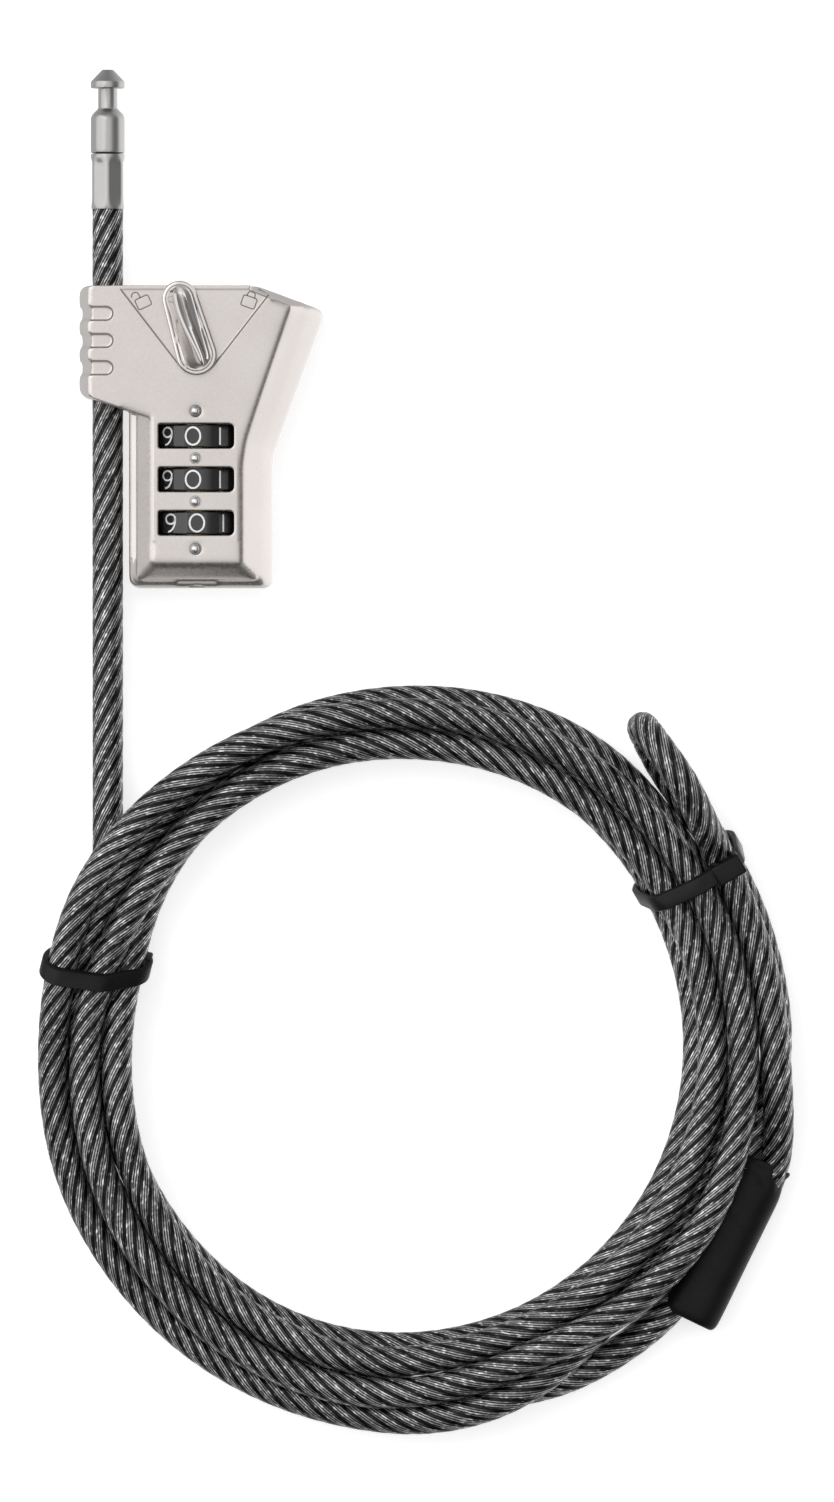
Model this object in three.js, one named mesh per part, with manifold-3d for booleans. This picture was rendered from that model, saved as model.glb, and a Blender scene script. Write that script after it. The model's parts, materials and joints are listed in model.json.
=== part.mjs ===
// A combination cable lock for a laptop: a die-cast housing with three number wheels and a turn knob,
// and a steel cable that slides through the barrel on its left side. The cable carries a mushroom-headed
// plug at one end, which locks into the slanted socket, and a crimped eye at the other.
// Millimetres. +X across the lock, +Y along the cable, +Z out of the lock's front face, z = 0 its back.
import * as THREE from "three";
import { mergeVertices } from "three/addons/utils/BufferGeometryUtils.js";
import Module from "manifold-3d";

const wasm = await Module();
wasm.setup();

// ---- driving dimensions ----
const GAP = 0.3;
const FRONT_Z = 16.4;
const LEDGE_Z = 11.5;
const LEDGE_ROUND = 0.9;
const BEVEL_WIDTH = 3.6;
const INNER_FRONT_Z = 14.3;
const CAVITY_Z = 10.6;

const CABLE_R = 2.5;
const BORE_R = 2.65;
const BARREL_X = -15.16;
const BARREL_Z = 4.6;

const DIAL_X = -0.7;
const DIAL_Z = 9.1;
const DIAL_YS = [-0.37, -7.35, -14.35];
const DIAL_CLICKS = [-4, -4, 1];
const DIAL_R = 7.6;
const DIAL_WIDTH = 3.7;
const DIAL_BORE_R = 3.4;
const WINDOW = { left: -6.82, right: 5.4, height: 3.95 };

const KNOB = { x: -0.65, y: 12.7, lean: 16.5, length: 12.27, footR: 3.3, headR: 2.9 };
const KNOB_SHAFT_R = 2;
const CAM = {
  r: 5,
  z0: 11.8,
  z1: 13,
  pinR: 0.75,
  latchPinR: 3.7,
  latchPinAt: 109,
  yokePinR: 4,
  yokePinAt: 19,
};
const LATCH = { z0: 5.6, z1: 7.8, travel: 2.4 };
const YOKE = { z0: 8.4, z1: 9.8 };
const SPINDLE_R = 1.6;
const FIN_R = 2.4;

const SOCKET = { x: 14.44, y: 21.85, z: 6.9, lean: 20, r: 2.85, depth: 13.5 };
const COVER = { thickness: 1.2, seat: 1.3, gap: 0.25 };
const SCREWS = [
  [-8.2, -20.2],
  [8.1, -20.2],
  [-8.6, 19.6],
  [4.9, 19.7],
];
const BOSS = { r: 1.9, top: 10.9 };
const RESET = { headR: 1.9, shankR: 1.15, seatY: -22.9, faceY: -24.3 };
const STUD_YS = [3.66, -3.95, -10.92, -18.53];
const STUD_R = 0.93;

const COIL = { x: 32.3, y: -100.4, inner: 44.6, outer: 58.2, stretch: 1.033, z0: 1.3, z1: 11.2 };
const SLEEVE = { x: 84.6, y: -130.1, z: 3.8, turn: -26.1, width: 10.4, height: 7, length: 28.8 };
const TIE_WIDTH = 2.7;
const TIE_THICKNESS = 1;

const degrees = (angle) => THREE.MathUtils.degToRad(angle);

// ---- materials ----
const finish = (color, roughness, metalness) =>
  new THREE.MeshStandardMaterial({ color, roughness, metalness });
const NICKEL = finish(0xcdc6c2, 0.38, 0.9);
const POLISHED_NICKEL = finish(0xd8d0c8, 0.15, 1);
const CHROME = finish(0xe0e0e0, 0.08, 1);
const STEEL = finish(0x9a9a9a, 0.35, 1);
const SPRING_STEEL = finish(0x7d7f82, 0.3, 1);
const BRASS = finish(0xb59a55, 0.35, 1);
const BLACK_GLOSS = finish(0x131315, 0.25, 0);
const BLACK_NYLON = finish(0x101012, 0.35, 0);
const BLACK_SHRINK = finish(0x17181a, 0.6, 0);
const CABLE_COAT = finish(0x4a4a4a, 0.35, 0.2);
const ALUMINIUM = finish(0xb8babd, 0.4, 1);

// ---- solids ----
function solid(geometry) {
  const bare = geometry.clone();
  bare.deleteAttribute("normal");
  bare.deleteAttribute("uv");
  const merged = mergeVertices(bare);
  return new wasm.Manifold(
    new wasm.Mesh({
      numProp: 3,
      vertProperties: merged.attributes.position.array,
      triVerts: new Uint32Array(merged.index.array),
    }),
  );
}

function geometryOf(manifold) {
  const mesh = manifold.getMesh();
  const geometry = new THREE.BufferGeometry();
  geometry.setAttribute("position", new THREE.BufferAttribute(mesh.vertProperties, 3));
  geometry.setIndex(new THREE.BufferAttribute(mesh.triVerts, 1));
  return geometry;
}

function joined(first, ...others) {
  return others.reduce((whole, geometry) => whole.add(solid(geometry)), solid(first));
}

function cut(body, ...tools) {
  return tools.reduce((left, geometry) => left.subtract(solid(geometry)), body);
}

// Corners [x, y, radius] in order round the outline; a radius of 0 leaves the corner sharp.
function outline(corners) {
  const points = [];
  const corner = (i) => new THREE.Vector2(...corners.at(i % corners.length));
  corners.forEach(([x, y, radius], i) => {
    const here = new THREE.Vector2(x, y);
    if (!radius) {
      points.push(here);
      return;
    }
    const back = corner(i - 1).sub(here).normalize();
    const ahead = corner(i + 1).sub(here).normalize();
    const half = Math.acos(back.dot(ahead)) / 2;
    const middle = back.clone().add(ahead).normalize();
    const centre = here.clone().addScaledVector(middle, radius / Math.sin(half));
    const start = here.clone().addScaledVector(back, radius / Math.tan(half)).sub(centre);
    const end = here.clone().addScaledVector(ahead, radius / Math.tan(half)).sub(centre);
    const turn = Math.atan2(start.cross(end), start.dot(end));
    const count = Math.max(1, Math.ceil(Math.abs(turn) / degrees(20)));
    for (let k = 0; k <= count; k += 1) {
      const spoke = start.clone().rotateAround(new THREE.Vector2(), (turn * k) / count);
      points.push(spoke.add(centre));
    }
  });
  return points;
}

function prism(points, z0, z1) {
  const shape = new THREE.Shape(points);
  const options = { depth: z1 - z0, bevelEnabled: false };
  return new THREE.ExtrudeGeometry(shape, options).translate(0, 0, z0);
}

// A prism from z0 to z1 whose end edges slope or round inwards by width over height.
function crowned(points, z0, z1, width, height, bevelSegments) {
  const depth = z1 - z0 - 2 * height;
  const options = { depth, bevelThickness: height, bevelSize: width, bevelOffset: -width, bevelSegments };
  return new THREE.ExtrudeGeometry(new THREE.Shape(points), options).translate(0, 0, z0 + height);
}

function box(x0, x1, y0, y1, z0, z1) {
  const geometry = new THREE.BoxGeometry(x1 - x0, y1 - y0, z1 - z0);
  return geometry.translate((x0 + x1) / 2, (y0 + y1) / 2, (z0 + z1) / 2);
}

function rodAlongY(radius, x, z, y0, y1, sides = 24) {
  const geometry = new THREE.CylinderGeometry(radius, radius, y1 - y0, sides);
  return geometry.translate(x, (y0 + y1) / 2, z);
}

function rodAlongZ(radius, x, y, z0, z1, sides = 24) {
  const geometry = new THREE.CylinderGeometry(radius, radius, z1 - z0, sides);
  return geometry.rotateX(Math.PI / 2).translate(x, y, (z0 + z1) / 2);
}

// A washer or tube along Z.
function tubeAlongZ(inner, outer, x, y, z0, z1) {
  return geometryOf(cut(solid(rodAlongZ(outer, x, y, z0, z1)), rodAlongZ(inner, x, y, z0 - 1, z1 + 1)));
}

function turned(profile, segments = 24) {
  return new THREE.LatheGeometry(profile.map(([r, y]) => new THREE.Vector2(r, y)), segments);
}

function cordTube(points, steps, sides, radius = CABLE_R) {
  const section = new THREE.Shape(
    Array.from({ length: sides }, (_, i) => {
      const angle = (2 * Math.PI * i) / sides;
      return new THREE.Vector2(radius * Math.cos(angle), radius * Math.sin(angle));
    }),
  );
  const along = points.map((point) => new THREE.Vector3(...point));
  const extrudePath = new THREE.CatmullRomCurve3(along, false, "centripetal");
  return new THREE.ExtrudeGeometry(section, { steps, extrudePath, bevelEnabled: false });
}

const root = new THREE.Group();

function addNode(name, geometry, material, parent = root) {
  const mesh = new THREE.Mesh(geometry, material);
  mesh.name = name;
  parent.add(mesh);
  return mesh;
}

// ---- front housing ----
const SILHOUETTE = [
  [-11.6, -24.68, 1.6],
  [11.5, -24.68, 1.6],
  [11.5, -3.4, 6],
  [20, 20, 1.3],
  [9.19, 23.87, 1.5],
  [-19.6, 23.87, 1.3],
  [-19.6, 6.4, 1.4],
  [-11.6, 3.7, 0],
];
const CROWN = [
  [-11.5, -24.6, 0],
  [10.2, -24.6, 0],
  [10.2, -3.3, 10],
  [22, 33.3, 0],
  [-11.5, 33.3, 0],
];
const CROWN_LIMIT = [
  [-10.3, -23.4, 0],
  [11, -23.4, 0],
  [11, -5, 0],
  [25, 38, 0],
  [-10.3, 38, 0],
];
const BARREL_FRONT = [
  [-19.6, -10, 0],
  [5, -10, 0],
  [5, 40, 0],
  [-19.6, 40, 0],
];
// The barrel's lower wall slants: its line runs on as a crease until the front face swallows it.
const BARREL_LIMIT = [
  [-30, 10, 0],
  [-6.9, 2.1, 0],
  [-6.9, 45, 0],
  [-30, 45, 0],
];
const CAVITY = [
  [-9.8, -21.6, 1],
  [9.7, -21.6, 1],
  [9.7, 4, 1],
  [5.6, 7, 0],
  [5.6, 16.6, 0],
  [7, 17.5, 0],
  [7, 21.9, 1],
  [-10.7, 21.9, 1],
  [-10.7, 4, 1],
  [-9.8, 2, 0],
];
const COVER_OUTLINE = [
  [-10.6, -23.5, 1.2],
  [10.5, -23.5, 1.2],
  [10.5, -3.2, 6],
  [15.6, 11.4, 1],
  [8.6, 22.7, 1.5],
  [-11.5, 22.7, 1],
  [-11.5, 5, 1],
  [-10.6, 3, 0],
];

function shrunk(corners, by) {
  const shape = new THREE.Shape(outline(corners));
  const bevel = { depth: 1, bevelThickness: 1, bevelSize: -by, bevelSegments: 1 };
  const trial = new THREE.ExtrudeGeometry(shape, bevel);
  return solid(trial).intersect(solid(box(-40, 40, -40, 40, 0, COVER.thickness)));
}

function grooveTools() {
  const depth = 0.5;
  const half = 1.1;
  const rightEnd = -14.1;
  return [19.36, 15, 10.6].flatMap((y) => {
    const slot = [
      [-25, y - half, 0],
      [rightEnd, y - half, half - 0.01],
      [rightEnd, y + half, half - 0.01],
      [-25, y + half, 0],
    ];
    const slope = [
      [-25, -1],
      [-19.1, -1],
      [-19.1, 11.6],
      [-17.6, FRONT_Z - depth],
      [-17, FRONT_Z + 1],
      [-25, FRONT_Z + 1],
    ].map(([x, z]) => new THREE.Vector2(x, z));
    const side = new THREE.ExtrudeGeometry(new THREE.Shape(slope), { depth: 2 * half, bevelEnabled: false });
    side.rotateX(Math.PI / 2).translate(0, y + half, 0);
    return [prism(outline(slot), FRONT_Z - depth, FRONT_Z + 1), side];
  });
}

// A padlock pictogram as a shallow groove: a body outline and a shackle arc.
function padlockTools(x, y, lean, open) {
  const depth = 0.16;
  const line = 0.22;
  const bodyWide = 2.3;
  const bodyTall = 1.75;
  const corner = (w, h) => outline([[-w, -h, 0.25], [w, -h, 0.25], [w, h, 0.25], [-w, h, 0.25]]);
  const frame = new THREE.Shape(corner(bodyWide / 2, bodyTall / 2));
  frame.holes.push(new THREE.Path(corner(bodyWide / 2 - line, bodyTall / 2 - line)));
  const shackle = new THREE.Shape();
  shackle.absarc(0, 0, 0.72, 0, Math.PI);
  shackle.absarc(0, 0, 0.72 - line, Math.PI, 0, true);
  const options = { depth: 1 + depth, bevelEnabled: false, curveSegments: 6 };
  const shift = open ? -0.75 : 0;
  const lift = bodyTall / 2 + (open ? 0.55 : 0.3);
  const legFoot = bodyTall / 2 + 0.02;
  const legTop = lift + 0.05;
  const legs = (open ? [0.61] : [-0.61, 0.61]).map((leg) => {
    const middle = shift + leg;
    return box(middle - line / 2, middle + line / 2, legFoot, legTop, 0, 1 + depth);
  });
  const pieces = [
    new THREE.ExtrudeGeometry(frame, options),
    new THREE.ExtrudeGeometry(shackle, options).translate(shift, lift, 0),
    ...legs,
  ];
  return pieces.map((piece) => piece.rotateZ(degrees(lean)).translate(x, y, FRONT_Z - 0.25 - depth));
}

function frontHousing() {
  const skirt = solid(crowned(outline(SILHOUETTE), -3, LEDGE_Z, LEDGE_ROUND, LEDGE_ROUND, 3));
  const crown = solid(crowned(outline(CROWN), -8, FRONT_Z, BEVEL_WIDTH, FRONT_Z - LEDGE_Z, 1)).intersect(
    solid(prism(outline(CROWN_LIMIT), 0, FRONT_Z)),
  );
  const barrel = solid(crowned(outline(BARREL_FRONT), -8, FRONT_Z, 1.5, 4.5, 1)).intersect(
    solid(prism(outline(BARREL_LIMIT), 0, FRONT_Z)),
  );
  const block = skirt.add(crown).add(barrel).intersect(solid(prism(outline(SILHOUETTE), 0, FRONT_Z + 1)));

  const faceNormal = new THREE.Vector3(0.359, 0.933, 0).normalize();
  const up = new THREE.Vector3(0, 0, 1);
  const along = faceNormal.clone().cross(up);
  const wedge = [[-1.2, FRONT_Z + 0.01], [2, FRONT_Z + 0.01], [2, 0], [0, LEDGE_Z - 1]];
  const chamfer = new THREE.ExtrudeGeometry(
    new THREE.Shape(wedge.reverse().map(([u, v]) => new THREE.Vector2(u, v))),
    { depth: 14, bevelEnabled: false },
  );
  chamfer.applyMatrix4(new THREE.Matrix4().makeBasis(faceNormal, up, along));
  chamfer.translate(9.19 - along.x, 23.87 - along.y, 0);

  const tunnel = solid(rodAlongY(7.95, DIAL_X, DIAL_Z, -17.9, 3, 40)).intersect(
    solid(box(-20, 20, -30, 30, 0, INNER_FRONT_Z)),
  );
  const windows = DIAL_YS.map((y) => {
    const half = WINDOW.height / 2;
    const shape = [
      [WINDOW.left, y - half, 0.2],
      [WINDOW.right, y - half, 0.8],
      [WINDOW.right, y + half, 0.8],
      [WINDOW.left, y + half, 0.2],
    ];
    return prism(outline(shape), INNER_FRONT_Z - 1, FRONT_Z + 1);
  });
  const panel = prism(
    outline([
      [-12.9, 23.3, 0],
      [-0.65, 7.4, 3.6],
      [11, 22.4, 0],
      [9.3, 23.3, 0],
    ]),
    FRONT_Z - 0.25,
    FRONT_Z + 1,
  );
  const socket = new THREE.CylinderGeometry(SOCKET.r, SOCKET.r, 2 * SOCKET.depth, 28);
  socket.rotateZ(-degrees(SOCKET.lean)).translate(SOCKET.x, SOCKET.y, SOCKET.z);
  const bosses = SCREWS.map(([x, y]) => rodAlongZ(BOSS.r, x, y, COVER.seat, BOSS.top, 20));
  const screwHoles = SCREWS.map(([x, y]) => rodAlongZ(1, x, y, -1, 9, 12));
  const studHoles = STUD_YS.map((y) => rodAlongZ(0.65, DIAL_X - 0.1, y, 15.3, FRONT_Z + 1, 12));

  const shell = cut(
    block,
    chamfer,
    prism(outline(CAVITY), -1, CAVITY_Z),
    geometryOf(tunnel),
    box(-7.5, 6, 5.5, 20.5, CAVITY_Z - 1, INNER_FRONT_Z),
    prism(outline(COVER_OUTLINE), -1, COVER.seat),
    rodAlongY(2.15, DIAL_X, DIAL_Z, -21.6, 5.6),
  );
  const posts = bosses.reduce((whole, post) => whole.add(solid(post)), shell);
  return geometryOf(
    cut(
      posts,
      rodAlongY(BORE_R, BARREL_X, BARREL_Z, -5, 30, 28),
      ...grooveTools(),
      panel,
      ...padlockTools(-9.2, 21.15, 25, true),
      ...padlockTools(7.8, 21.2, -20, false),
      ...windows,
      rodAlongZ(KNOB_SHAFT_R + 0.2, KNOB.x, KNOB.y, 10, 20),
      socket,
      box(5, 10.4, 11, 16.3, LATCH.z0 - GAP, LATCH.z1 + GAP),
      ...screwHoles,
      ...studHoles,
      rodAlongY(RESET.headR + 0.2, DIAL_X, DIAL_Z, -26, RESET.seatY - 0.1),
      rodAlongY(RESET.shankR + 0.15, DIAL_X, DIAL_Z, -26, -21),
    ),
  );
}
addNode("front_housing", frontHousing(), NICKEL);

// ---- back cover and its countersunk screws ----
function backCover() {
  const plate = shrunk(COVER_OUTLINE, COVER.gap);
  const holes = SCREWS.flatMap(([x, y]) => [
    rodAlongZ(1, x, y, -1, 3, 12),
    rodAlongZ(2, x, y, -1, 0.75, 20),
  ]);
  return geometryOf(cut(plate, ...holes));
}
addNode("back_cover", backCover(), NICKEL);

function coverScrew() {
  const body = turned([[0, 0.05], [1.75, 0.05], [1.75, 0.3], [0.8, 0.72], [0.8, 8.5], [0, 8.7]], 16);
  body.rotateX(Math.PI / 2);
  const slots = [box(-1.1, 1.1, -0.22, 0.22, -1, 0.35), box(-0.22, 0.22, -1.1, 1.1, -1, 0.35)];
  return geometryOf(cut(solid(body), ...slots));
}
SCREWS.forEach(([x, y], i) => {
  addNode(`cover_screw_${i + 1}`, coverScrew(), STEEL).position.set(x, y, 0);
});

// ---- turn knob, its retaining clip and the cam that it turns ----
function knob() {
  const base = [
    [-KNOB.footR, -KNOB.footR, KNOB.footR - 0.3],
    [KNOB.footR, -KNOB.footR, KNOB.footR - 0.3],
    [KNOB.headR, KNOB.length, KNOB.headR - 0.3],
    [-KNOB.headR, KNOB.length, KNOB.headR - 0.3],
  ];
  const plate = crowned(outline(base), FRONT_Z + 0.05, 18.2, 0.5, 0.5, 2);
  const fin = [
    [-1, -2.5, 0.6],
    [1.5, -2.5, 0.6],
    [1.3, 5, 12],
    [0.9, 11.2, 0.7],
    [-1.6, 11.2, 0.7],
    [-1.1, 5, 12],
  ];
  const ridge = crowned(outline(fin), 16.9, 22, 0.45, 1.2, 2);
  const shaft = rodAlongZ(KNOB_SHAFT_R, 0, 0, CAM.z0, 17);
  return geometryOf(joined(plate, ridge, shaft));
}
const knobGroup = new THREE.Group();
knobGroup.position.set(KNOB.x, KNOB.y, 0);
root.add(knobGroup);
addNode("knob", knob().rotateZ(degrees(KNOB.lean)), POLISHED_NICKEL, knobGroup);
addNode("knob_clip", tubeAlongZ(KNOB_SHAFT_R + 0.1, 3.4, 0, 0, 13.3, 14), SPRING_STEEL, knobGroup);

function cam() {
  const disc = solid(rodAlongZ(CAM.r, 0, 0, CAM.z0, CAM.z1, 32));
  const pin = (radius, at, z0) => {
    const angle = degrees(at);
    return rodAlongZ(CAM.pinR, radius * Math.cos(angle), radius * Math.sin(angle), z0, CAM.z0 + 0.5, 14);
  };
  const whole = disc
    .add(solid(pin(CAM.latchPinR, CAM.latchPinAt, LATCH.z0 + 0.2)))
    .add(solid(pin(CAM.yokePinR, CAM.yokePinAt, YOKE.z0 + 0.2)));
  return geometryOf(cut(whole, rodAlongZ(KNOB_SHAFT_R + 0.1, 0, 0, 0, 20)));
}
addNode("cam", cam(), STEEL, knobGroup);

// ---- latch bolt: a forked plate that slides across into the plug's neck ----
function latchBolt() {
  const plate = prism(
    outline([
      [-3.6, 13, 0.5],
      [2.5, 13, 0],
      [3, 11.3, 0.3],
      [8.2, 11.3, 0.4],
      [8.2, 16, 0.4],
      [3, 16, 0],
      [2.5, 17, 0.3],
      [0.6, 18.2, 0.5],
      [-3.6, 18.2, 0.5],
    ]),
    LATCH.z0,
    LATCH.z1,
  );
  const pinX = KNOB.x + CAM.latchPinR * Math.cos(degrees(CAM.latchPinAt));
  const pinY = KNOB.y + CAM.latchPinR * Math.sin(degrees(CAM.latchPinAt));
  const play = CAM.pinR + 0.1;
  return geometryOf(
    cut(
      solid(plate),
      box(pinX - play, pinX + play, pinY - play - 0.1, pinY + play + 0.3, 0, 20),
      rodAlongZ(1.75, 11.5 - LATCH.travel, 13.65, 0, 20),
    ),
  );
}
addNode("latch_bolt", latchBolt(), STEEL);

// ---- spindle: a rod with a fin for each wheel, and a yoke that the cam's second pin drives ----
function spindle() {
  const rod = solid(rodAlongY(SPINDLE_R, DIAL_X, DIAL_Z, -18, 5.5));
  const fins = DIAL_YS.map((y) => box(DIAL_X - 0.5, DIAL_X + 0.5, y + 0.8, y + 1.8, DIAL_Z - FIN_R, DIAL_Z));
  const finned = fins.reduce((whole, fin) => whole.add(solid(fin)), rod);
  const pinX = KNOB.x + CAM.yokePinR * Math.cos(degrees(CAM.yokePinAt));
  const pinY = KNOB.y + CAM.yokePinR * Math.sin(degrees(CAM.yokePinAt));
  const play = CAM.pinR + 0.1;
  const yoke = prism(
    outline([
      [-1.9, 4.6, 0],
      [0.5, 4.6, 0],
      [0.5, 8.6, 0.4],
      [5, 8.6, 0.6],
      [5, 15.5, 0.6],
      [1.9, 15.5, 0.6],
      [1.9, 10.4, 0.3],
      [-1.9, 10.4, 0.6],
    ]),
    YOKE.z0,
    YOKE.z1,
  );
  return geometryOf(
    cut(finned.add(solid(yoke)), box(pinX - play, pinX + play + 0.25, pinY - play, pinY + play, 0, 20)),
  );
}
addNode("spindle", spindle(), BRASS);

// The coil spring that pushes the spindle up, seated round the reset screw's end.
function spindleSpring() {
  class Helix extends THREE.Curve {
    getPoint(t) {
      const angle = 2 * Math.PI * 2.5 * t;
      return new THREE.Vector3(1.65 * Math.cos(angle), -21.3 + 3 * t, 1.65 * Math.sin(angle));
    }
  }
  const wire = new THREE.Shape();
  wire.absarc(0, 0, 0.2, 0, 2 * Math.PI);
  const options = { steps: 40, extrudePath: new Helix(), bevelEnabled: false, curveSegments: 3 };
  return new THREE.ExtrudeGeometry(wire, options).translate(DIAL_X, 0, DIAL_Z);
}
addNode("spindle_spring", spindleSpring(), SPRING_STEEL);

// ---- number wheels and the gated sleeves that they turn ----
function dialWheel(click) {
  const rim = Array.from({ length: 10 }, (_, i) => {
    const angle = degrees(36 * i + 18 - 90 + click);
    return [DIAL_R * Math.cos(angle), DIAL_R * Math.sin(angle), 0.5];
  });
  const wheel = new THREE.Shape(outline(rim));
  const bore = new THREE.Path();
  bore.absarc(0, 0, DIAL_BORE_R, 0, 2 * Math.PI);
  wheel.holes.push(bore);
  const options = { depth: DIAL_WIDTH, bevelEnabled: false, curveSegments: 12 };
  return new THREE.ExtrudeGeometry(wheel, options).translate(0, 0, -DIAL_WIDTH / 2).rotateX(-Math.PI / 2);
}

function dialSleeve() {
  const half = 3.2;
  const collar = 0.5;
  const sleeve = turned([
    [2.6, -half],
    [3.2, -half],
    [3.2, half],
    [2.6, half],
    [2.6, collar],
    [1.8, collar],
    [1.8, -collar],
    [2.6, -collar],
    [2.6, -half],
  ]);
  return geometryOf(cut(solid(sleeve), box(-0.7, 0.7, -collar - 0.1, collar + 0.1, -2.65, 0)));
}
DIAL_YS.forEach((y, i) => {
  addNode(`dial_${i + 1}`, dialWheel(DIAL_CLICKS[i]), BLACK_GLOSS).position.set(DIAL_X, y, DIAL_Z);
  addNode(`dial_sleeve_${i + 1}`, dialSleeve(), BRASS).position.set(DIAL_X, y, DIAL_Z);
});

// A leaf spring whose three fingers click against the wheels.
function detentSpring() {
  const x = DIAL_X + 8.1;
  const strip = box(x + 0.3, x + 0.7, -17.6, 2.6, 2.4, 5);
  const fingers = DIAL_YS.map((y) => box(x + 0.3, x + 0.7, y - 1.2, y + 1.2, 4.8, 9.6));
  const tips = DIAL_YS.map((y) => box(x, x + 0.5, y - 1.2, y + 1.2, 8.8, 9.6));
  return geometryOf(joined(strip, ...fingers, ...tips));
}
addNode("detent_spring", detentSpring(), SPRING_STEEL);

// ---- index studs beside the windows ----
function indexStud() {
  const dome = [0, 22.5, 45, 67.5, 90].map((angle) => [
    STUD_R * Math.cos(degrees(angle)),
    0.04 + 0.62 * Math.sin(degrees(angle)),
  ]);
  dome[dome.length - 1][0] = 0;
  return turned([[0, -0.9], [0.55, -0.9], [0.55, 0.04], ...dome], 16).rotateX(Math.PI / 2);
}
STUD_YS.forEach((y, i) => {
  addNode(`index_stud_${i + 1}`, indexStud(), CHROME).position.set(DIAL_X - 0.1, y, FRONT_Z);
});

// ---- reset screw at the foot of the wheels' axis ----
function resetScrew() {
  const profile = [
    [0, RESET.faceY],
    [RESET.headR, RESET.faceY],
    [RESET.headR, RESET.seatY - 0.15],
    [RESET.shankR, RESET.seatY - 0.15],
    [RESET.shankR, -21.2],
    [0, -21.2],
  ];
  const slot = box(-1.7, 1.7, RESET.faceY - 1, RESET.faceY + 0.7, -0.35, 0.35);
  return geometryOf(cut(solid(turned(profile)), slot)).translate(DIAL_X, 0, DIAL_Z);
}
addNode("reset_screw", resetScrew(), STEEL);

// ---- plug: mushroom head and neck, and the crimped ferrule below it ----
const PLUG_PROFILE = [
  [0, 45.7],
  [2.75, 45.7],
  [2.75, 51.4],
  [2.6, 52],
  [1.55, 52.8],
  [1.55, 56.1],
  [2.75, 56.1],
  [2.75, 57.2],
  [0.9, 59.1],
  [0, 59.1],
];
const FERRULE_PROFILE = [
  [0, 36.6],
  [2.4, 36.6],
  [2.75, 37.1],
  [2.75, 45.4],
  [0, 45.4],
];
addNode("plug_pin", turned(PLUG_PROFILE), STEEL).position.set(BARREL_X, 0, BARREL_Z);
addNode("ferrule", turned(FERRULE_PROFILE, 12), STEEL).position.set(BARREL_X, 0, BARREL_Z);

// ---- cable: the straight lead, the coil's outer shape and the eye ----
const LEAD_ROUTE = [
  [BARREL_X, 36.3, BARREL_Z],
  [BARREL_X, 24, BARREL_Z],
  [BARREL_X, 10, BARREL_Z],
  [BARREL_X, -4, BARREL_Z],
  [BARREL_X, -18, BARREL_Z],
  [BARREL_X, -34, 4.3],
  [BARREL_X, -48, 3.9],
  [BARREL_X, -61.3, 3.8],
];
addNode("cable_lead", cordTube(LEAD_ROUTE, 12, 12), CABLE_COAT);

const EYE_ROUTE = [
  [88.7, -115.3, 3.8],
  [90.6, -110, 3.8],
  [92.4, -104.5, 3.8],
  [93.2, -98.2, 3.8],
  [92.7, -91.6, 3.8],
  [90.9, -83, 3.8],
  [88, -74.8, 3.8],
  [84, -67.2, 3.8],
  [79.2, -60.4, 3.5],
  [75, -54.9, 3],
  [73.1, -51.2, 4],
  [71.6, -48.4, 6.6],
  [70.8, -46.6, 12.4],
  [72.2, -48.2, 18.2],
  [74, -51.2, 20.8],
  [76.9, -54.6, 21.8],
  [78.3, -57.3, 21.3],
  [79.6, -60, 19.8],
  [81.1, -63, 15.4],
  [82.6, -65.9, 11],
  [84, -68.6, 9.5],
  [85.3, -71.3, 9],
  [89, -80.7, 8.9],
  [91.2, -88, 8.9],
  [92.4, -96, 8.9],
  [92.9, -103, 8.9],
  [93.3, -110.5, 7.3],
  [93.1, -117.4, 3.8],
];
addNode("cable_eye", cordTube(EYE_ROUTE, 52, 8), CABLE_COAT);

// An oval section, width across, height up.
function oval(width, height) {
  const radius = height / 2 - 0.01;
  return outline([
    [-width / 2, -height / 2, radius],
    [width / 2, -height / 2, radius],
    [width / 2, height / 2, radius],
    [-width / 2, height / 2, radius],
  ]);
}

// A bar of oval section, lying along the sleeve's direction.
function sleeveBar(width, height, length) {
  const section = new THREE.Shape(oval(width, height));
  const bar = new THREE.ExtrudeGeometry(section, { depth: length, bevelEnabled: false });
  bar.translate(0, 0, -length / 2).rotateX(-Math.PI / 2);
  return bar.rotateZ(degrees(SLEEVE.turn)).translate(SLEEVE.x, SLEEVE.y, SLEEVE.z);
}

function cableCoil() {
  const { inner, outer, z0, z1 } = COIL;
  const corner = 1.5;
  const ring = turned(
    [
      [inner, z0 + corner],
      [inner + corner, z0],
      [outer - corner, z0],
      [outer, z0 + corner],
      [outer, z1 - corner],
      [outer - corner, z1],
      [inner + corner, z1],
      [inner, z1 - corner],
      [inner, z0 + corner],
    ],
    56,
  ).rotateX(Math.PI / 2);
  ring.scale(1, COIL.stretch, 1).translate(COIL.x, COIL.y, 0);
  const pocket = sleeveBar(SLEEVE.width + 1, SLEEVE.height + 1, SLEEVE.length + 3);
  const legPocket = sleeveBar(SLEEVE.width + 1, SLEEVE.height + 1, 12);
  const reach = SLEEVE.length / 2 + 4;
  const along = new THREE.Vector2(0, reach).rotateAround(new THREE.Vector2(), degrees(SLEEVE.turn));
  legPocket.translate(along.x, along.y, 0);
  const eyeRoom = cordTube(EYE_ROUTE, 52, 8, CABLE_R + GAP);
  return geometryOf(cut(solid(ring), pocket, legPocket, eyeRoom));
}
addNode("cable_coil", cableCoil(), CABLE_COAT);

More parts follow.
